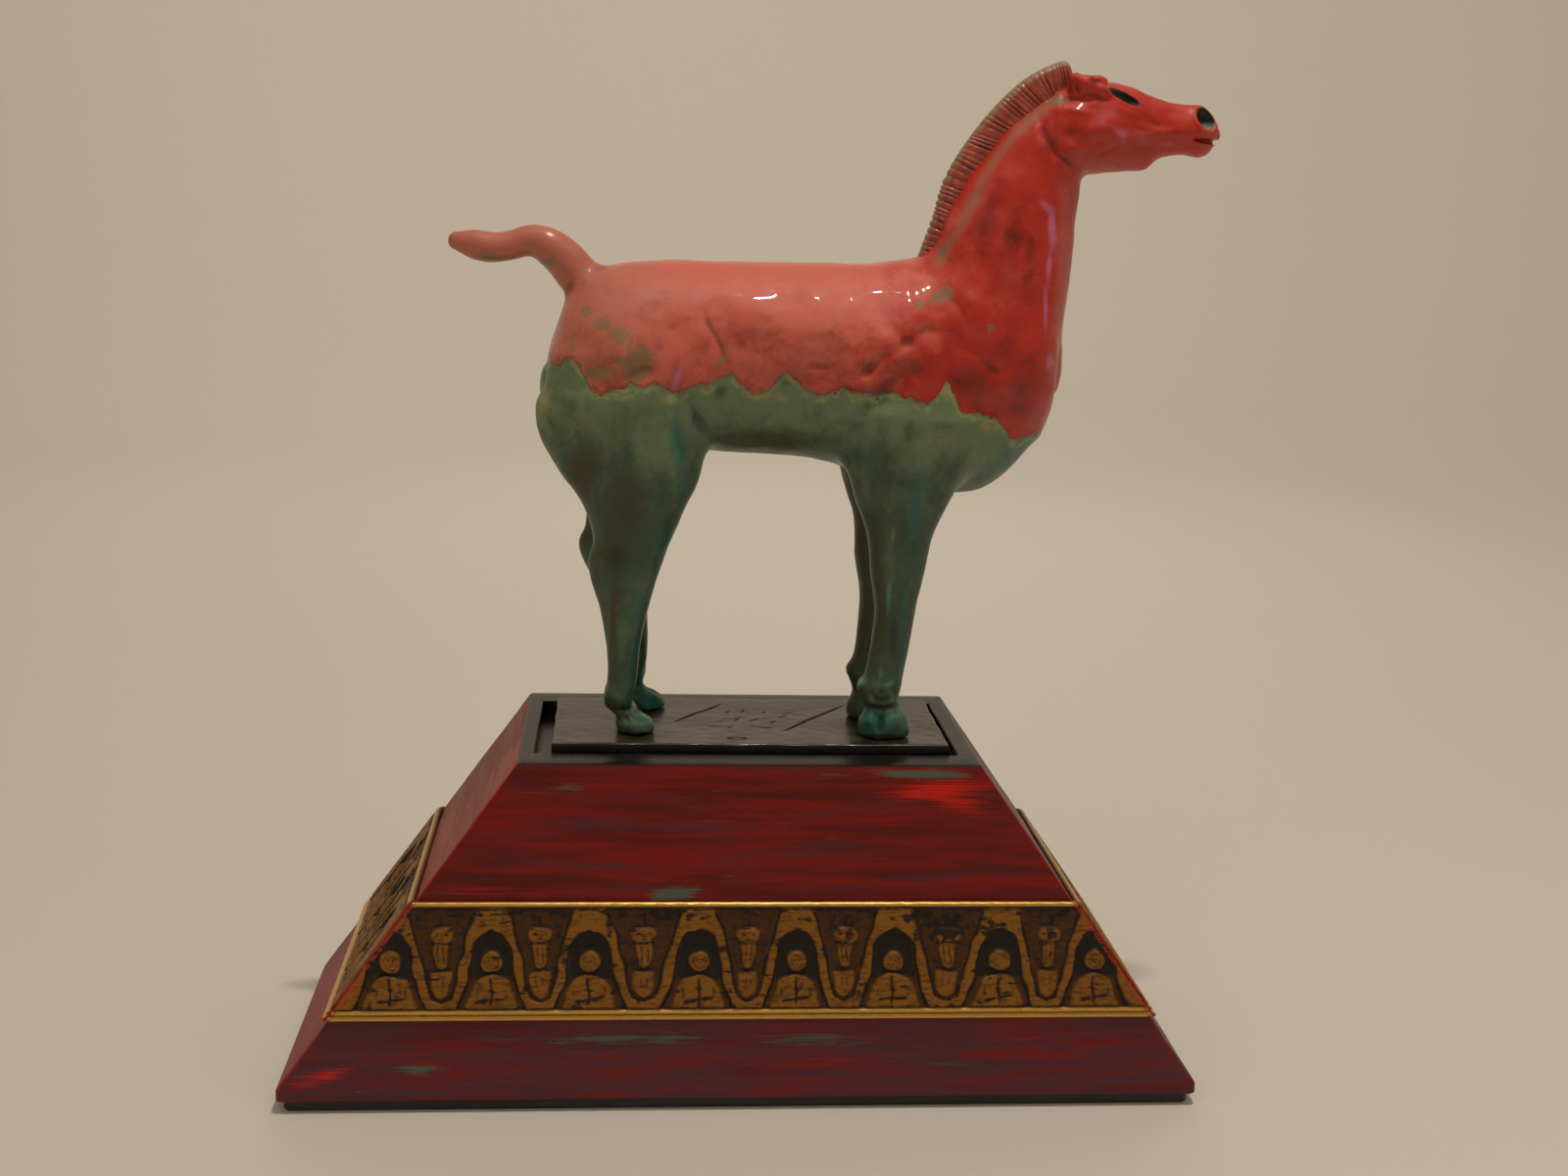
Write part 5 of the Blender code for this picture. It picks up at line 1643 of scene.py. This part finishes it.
@dataclass(frozen=True)
class BrushedPaint:
    """Dark red brushed thinly over purple-grey, with teal and bright red strokes and a black rim."""

    red: Colour = pigment(132, 18, 10)
    wine: Colour = pigment(60, 20, 12)
    bright: Colour = pigment(220, 34, 12)
    plum: Colour = pigment(78, 46, 58)
    teal: Colour = pigment(78, 104, 92)
    rust: Colour = pigment(150, 74, 50)
    slate: Colour = pigment(112, 88, 88)
    black: Colour = pigment(20, 15, 13)

    def mix(self) -> bpy.types.Material:
        """Returns the paint."""
        mixer = Mixer("plinth_paint")
        face = mixer.reading("face", "Vector")
        broad = mixer.noise(face, (0.120, 0.014, 1.0), 3.0, 0.6, 0.3)
        stroke = mixer.noise(face, (0.070, 0.0050, 1.0), 4.0, 0.6, 0.4)
        hairs = mixer.noise(face, (0.050, 0.0010, 1.0), 3.0, 0.7, 0.2)
        patch = mixer.noise(face, (0.070, 0.010, 1.0), 4.0, 0.6, 0.6)
        touch = mixer.noise(face, (0.040, 0.0060, 1.0), 4.0, 0.65, 1.0)
        mixed = broad * 0.45 + stroke * 0.35 + hairs * 0.20
        up = mixer.reading("up")
        lower = up.rise(0.30, 0.22)
        colour = mixer.layers(
            self.red,
            (self.wine, mixed + (1 - lower) * 0.02, 0.42, 0.62, 0.72),
            (self.plum, patch * 0.5 + hairs * 0.3 + stroke * 0.2 + lower * 0.12, 0.50, 0.66, 0.8),
            (self.bright, mixer.reading("ember") + (touch * 0.3 + hairs * 0.7 - 0.5) * 2.6 - 0.10,
             0.14, 0.90, 0.9),
            (self.teal, mixer.reading("sea") + (touch * 0.5 + hairs * 0.5 - 0.5) * 2.4, 0.28, 0.66, 0.85))
        end = mixer.reading("end")
        left = mixer.reading("rightward").rise(0.0, -1.0)
        right = mixer.reading("rightward").rise(0.0, 1.0)
        rosy = mixer.blend(self.rust, self.red, (mixed + (1 - up) * 0.16).rise(0.42, 0.62))
        colour = mixer.blend(colour, rosy, left * end * 0.8)
        grey = mixer.blend(self.slate, self.plum, mixed.rise(0.42, 0.56))
        colour = mixer.blend(colour, grey, right * end * 0.75)
        worn = (mixer.reading("arris") + (touch - 0.5) * 3.0).rise(1.0, -0.2)
        colour = mixer.blend(colour, self.bright, worn * 0.45)
        rim = mixer.reading("rim")
        colour = mixer.blend(colour, self.black, rim)
        rough = 0.42 + hairs * 0.22 - rim * 0.24
        height = hairs * 0.5 + stroke * 0.5
        return mixer.finish(Base_Color=colour, Roughness=rough, Coat_Weight=0.08, Coat_Roughness=0.25,
                            Specular_IOR_Level=0.25, Normal=mixer.bump(height, 0.0004, 0.5))


@dataclass
class Board(Block):
    """The thin board under the plinth, with eased edges."""

    def build(self) -> bpy.types.Object:
        """Lofts the board with eased edges and closes it with flat faces."""
        low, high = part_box("base_board")
        half_x, half_y = high.x / MM, high.y / MM
        thick = high.z / MM
        profile = [centred(half_x - 0.8, half_y - 0.8, 3.2, 0.0), centred(half_x, half_y, 4.0, 0.8),
                   centred(half_x, half_y, 4.0, thick - 0.8), centred(half_x - 0.8, half_y - 0.8, 3.2, thick)]
        rings = self.loft(profile)
        return make_piece("board", rings.reshape(-1, 3), tube_faces(len(profile), self.around),
                          self.replaced, BoardPaint().mix(), sharp=40)


@dataclass(frozen=True)
class BoardPaint:
    """Thin satin black paint, greyer where it is rubbed."""

    black: Colour = pigment(24, 23, 24)
    rubbed: Colour = pigment(52, 48, 46)

    def mix(self) -> bpy.types.Material:
        """Returns the paint."""
        mixer = Mixer("board_paint")
        place = mixer.place()
        grain = mixer.noise(place, (0.05, 0.05, 0.002), 3.0, 0.6)
        cloud = mixer.noise(place, 0.02, 3.0, 0.6)
        colour = mixer.blend(self.black, self.rubbed, (grain * 0.6 + cloud * 0.4).rise(0.52, 0.72) * 0.7)
        return mixer.finish(Base_Color=colour, Roughness=0.36 + cloud * 0.2,
                            Normal=mixer.bump(grain, 0.0002, 0.4))


@dataclass
class Slab:
    """The glazed tile under the hooves: a wavy top with rolled edges and shallow strokes cut in it."""

    low: Vector
    high: Vector
    cell: float = 0.75
    edge: float = 1.4

    def build(self) -> bpy.types.Object:
        """Carries the slab's outline from end to end.

        Each ring goes over the top and back under the foot. The top is the CAD height less a rolled edge (a
        quarter round), a slow wave and the strokes, whose depth is a bell across each line.
        """
        half_x = (self.high.x - self.low.x) / 2 / MM
        half_y = (self.high.y - self.low.y) / 2 / MM
        middle = (self.high.x + self.low.x) / 2 / MM
        foot, top = self.low.z / MM, self.high.z / MM
        xs = np.linspace(-half_x, half_x, round(2 * half_x / self.cell) + 1)
        ease_in = np.r_[0, 0.15, 0.45, 0.9, 1.4]
        xs = np.unique(np.r_[-half_x + ease_in, xs[3:-3], half_x - ease_in])
        ys = np.linspace(-half_y, half_y, round(2 * half_y / self.cell) + 1)
        ys = np.unique(np.r_[-half_y + ease_in, ys[3:-3], half_y - ease_in])
        x, y = np.meshgrid(xs, ys, indexing="ij")
        inset = np.minimum(half_x - np.abs(x), half_y - np.abs(y))
        t = np.clip(1 - inset / self.edge, 0, 1)
        roll = self.edge * (1 - np.sqrt(np.maximum(0, 1 - t * t)))
        flat = np.stack([x, y], -1)
        wave = 0.16 * ripple(flat, 38, 41) + 0.05 * ripple(flat, 9, 42)
        cut, dark = self._strokes(x, y)
        z = top - roll - np.maximum(0.22 + wave, 0) * (1 - t) - cut
        shrink_x = 1 - 0.0022 * (1 + ripple(y[..., None], 31, 44))
        shrink_y = 1 - 0.0055 * (1 + ripple(x[..., None], 37, 45))
        x, y = x * shrink_x, y * shrink_y
        upper = np.stack([middle + x, y, z], -1)
        under = np.stack([middle + x[:, ::-1], y[:, ::-1], np.full_like(x, foot)], -1)[:, [0, -1]]
        rings = np.concatenate([upper, under], 1)
        readings = {"stroke": backed(dark), "roll": backed(t, 1.0)}
        faces = tube_faces(len(xs), rings.shape[1], inward=True)
        return make_piece("slab_tile", rings.reshape(-1, 3), faces, ["slab"],
                          BlackGlaze().mix(), readings, sharp=50)

    def _strokes(self, x: Array, y: Array) -> tuple[Array, Array]:
        """Depth and darkness of two long slanting strokes and rows of short ones that form no letters."""
        lines = [((-38, -4), (-12, 31), 0.85, 1.0), ((18, -19), (54, 31), 0.95, 1.0)]
        rng = np.random.default_rng(12)
        for row in range(4):
            for number in range(4):
                start_x = -20 + 9.5 * number + 3 * row + rng.uniform(-2, 2)
                start_y = -14 + 9 * row + rng.uniform(-2.5, 2.5)
                angle = rng.uniform(-0.2, 1.3)
                size = rng.uniform(4, 9)
                lines.append(((start_x, start_y), (start_x + size * math.cos(angle),
                                                   start_y + size * math.sin(angle)), 0.6, 0.75))
        dark = np.zeros_like(x)
        for start, end, width, strength in lines:
            away, along = to_line(x, y, (start, end))
            fade = np.sqrt(np.sin(np.pi * np.clip(0.04 + 0.92 * along, 0, 1)))
            dark = np.maximum(dark, strength * bell(away, width) * fade)
        oval = np.abs(np.hypot((x + 7) / 4.2, (y + 33) / 1.9) - 1) * 2.6
        dark = np.maximum(dark, 0.9 * bell(oval, 0.6))
        return 0.28 * dark, dark


@dataclass(frozen=True)
class BlackGlaze:
    """Glossy black glaze with a painted grey-brown reflection, blacker in the strokes and on the rolled edge.
    """

    black: Colour = pigment(9, 7, 6)
    painted_sheen: Colour = pigment(62, 50, 42)

    def mix(self) -> bpy.types.Material:
        """Returns the glaze."""
        mixer = Mixer("slab_glaze")
        place = mixer.place()
        cloud = mixer.noise(place, 0.018, 4.0, 0.6)
        fine = mixer.noise(place, 0.0022, 3.0, 0.6)
        # painted reflection: a grey-brown sheen in cloudy patches, kept off the strokes and the rolled edge
        painted_sheen = (cloud * 0.7 + fine * 0.3).rise(0.34, 0.60)
        edge = mixer.reading("roll").rise(0.15, 0.7)
        stroke = mixer.reading("stroke").rise(0.10, 0.45)
        share = painted_sheen * (1 - edge) * (1 - stroke) * 0.9
        colour = mixer.blend(self.black, self.painted_sheen, share)
        rough = 0.28 + cloud * 0.16 + stroke * 0.4
        coat = 0.32 * (1 - stroke)
        return mixer.finish(Base_Color=colour, Roughness=rough, Coat_Weight=coat, Coat_Roughness=0.10,
                            Specular_IOR_Level=0.4, Normal=mixer.bump(fine * 0.5 + cloud * 0.5, 0.0004, 0.4))


@dataclass
class Studio:
    """A pale round sweep, soft warm lights and the camera at the photograph's angle."""

    place: tuple[float, float, float] = (-0.06161, -0.94751, 0.45067)
    yaw: float = 0.08456
    pitch: float = 0.20767
    roll: float = 0.0302
    lens: float = 43.47
    flat: float = 2.3
    bend: float = 1.6
    wall: float = 2.6
    paper: Colour = pigment(216, 210, 200)
    tint: Colour = (1.0, 0.92, 0.82)

    def build(self) -> None:
        """Makes the sweep, the lights, the world and the camera."""
        self._sweep()
        self._lights()
        self._camera()
        bpy.context.scene.view_settings.view_transform = "Standard"

    def _sweep(self) -> None:
        """A floor that bends up into a round wall: a quarter circle turned about the upright axis."""
        angles = np.linspace(0, math.pi / 2, 24)
        out = np.r_[0.02, 0.5, 1.2, self.flat + self.bend * np.sin(angles), self.flat + self.bend]
        up = np.r_[0, 0, 0, self.bend * (1 - np.cos(angles)), self.bend + self.wall]
        turn = np.linspace(0, 2 * math.pi, 96, endpoint=False)
        rings = np.stack([out[:, None] * np.cos(turn), out[:, None] * np.sin(turn),
                          np.broadcast_to(up[:, None], (len(out), len(turn)))], -1)
        sides, first, _ = tube_faces(len(out), len(turn))
        mesh = bpy.data.meshes.new("sweep")
        faces = [tuple(int(v) for v in face[::-1]) for face in [*sides, first[0]]]
        mesh.from_pydata([tuple(float(v) for v in place) for place in rings.reshape(-1, 3)], [], faces)
        mesh.shade_smooth()
        mixer = Mixer("sweep_paper")
        mesh.materials.append(mixer.finish(Base_Color=self.paper, Roughness=0.85, Specular_IOR_Level=0.2))
        sweep = bpy.data.objects.new("sweep", mesh)
        bpy.context.scene.collection.objects.link(sweep)

    def _lights(self) -> None:
        """A narrow warm lamp overhead, two wide weak ones in front, one for the wall and one behind."""
        world = bpy.data.worlds.new("room")
        world.use_nodes = True
        world.node_tree.nodes["Background"].inputs[0].default_value = (*pigment(236, 222, 206), 1)
        world.node_tree.nodes["Background"].inputs[1].default_value = 0.40
        bpy.context.scene.world = world
        lamps = (
            ("ceiling_lamp", (0.19, -0.28, 1.95), (0.19, 0.0, 0.3), (0.11, 0.018), 14.0, True),
            ("window", (-1.3, -1.7, 1.5), (0.0, 0.0, 0.25), (1.4, 1.4), 6.0, False),
            ("fill", (1.7, -1.2, 1.1), (0.0, 0.0, 0.25), (1.1, 1.1), 3.0, False),
            ("wall_wash", (0.0, 1.5, 2.6), (0.0, 4.2, 1.0), (1.3, 1.3), 30.0, False),
            ("back", (0.5, 1.7, 1.5), (0.0, 0.0, 0.3), (0.9, 0.9), 3.0, False),
        )
        for name, place, aim, (wide, deep), power, glints in lamps:
            data = bpy.data.lights.new(name, "AREA")
            data.shape = "RECTANGLE"
            data.size, data.size_y = wide, deep
            data.energy = power
            data.color = self.tint
            lamp = bpy.data.objects.new(name, data)
            lamp.location = place
            lamp.rotation_mode = "QUATERNION"
            lamp.rotation_quaternion = (Vector(aim) - Vector(place)).to_track_quat("-Z", "Y")
            lamp.visible_glossy = glints
            bpy.context.scene.collection.objects.link(lamp)

    def _camera(self) -> None:
        """The camera, turned by yaw, then pitch, then roll."""
        ahead = Vector((math.sin(self.yaw) * math.cos(self.pitch), math.cos(self.yaw) * math.cos(self.pitch),
                        -math.sin(self.pitch)))
        level = Vector((math.cos(self.yaw), -math.sin(self.yaw), 0))
        upright = level.cross(ahead)
        right = level * math.cos(self.roll) + upright * math.sin(self.roll)
        up = upright * math.cos(self.roll) - level * math.sin(self.roll)
        turn = Matrix((right, up, -ahead)).transposed()
        data = bpy.data.cameras.new("camera")
        data.lens = self.lens
        data.sensor_width = 36.0
        data.clip_start, data.clip_end = 0.05, 60.0
        camera = bpy.data.objects.new("camera", data)
        camera.matrix_world = Matrix.Translation(self.place) @ turn.to_4x4()
        bpy.context.scene.collection.objects.link(camera)
        bpy.context.scene.camera = camera


def main() -> None:
    """Builds every piece in order."""
    logging.basicConfig(level=logging.INFO, format="%(name)s: %(message)s")
    sizes = PlinthSizes.read()
    Board("board", "board_paint", ("base_board",), long_steps=8, short_steps=4).build()
    slab_low, slab_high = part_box("slab")
    Plinth("plinth_body", "plinth_paint", ("plinth",), sizes=sizes).build(slab_low, slab_high)
    for number, side in enumerate(Side):
        Frieze(side, sizes, seed=11 + 20 * number, cell=0.8 if side is Side.BACK else 0.62,
               stains=STAINS if side is Side.FRONT else ()).build()
    Slab(slab_low, slab_high).build()
    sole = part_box("horse")[0].z / MM
    Horse(sole).build()
    Mane(sole).build()
    Studio().build()


if __name__ == "__main__":
    main()
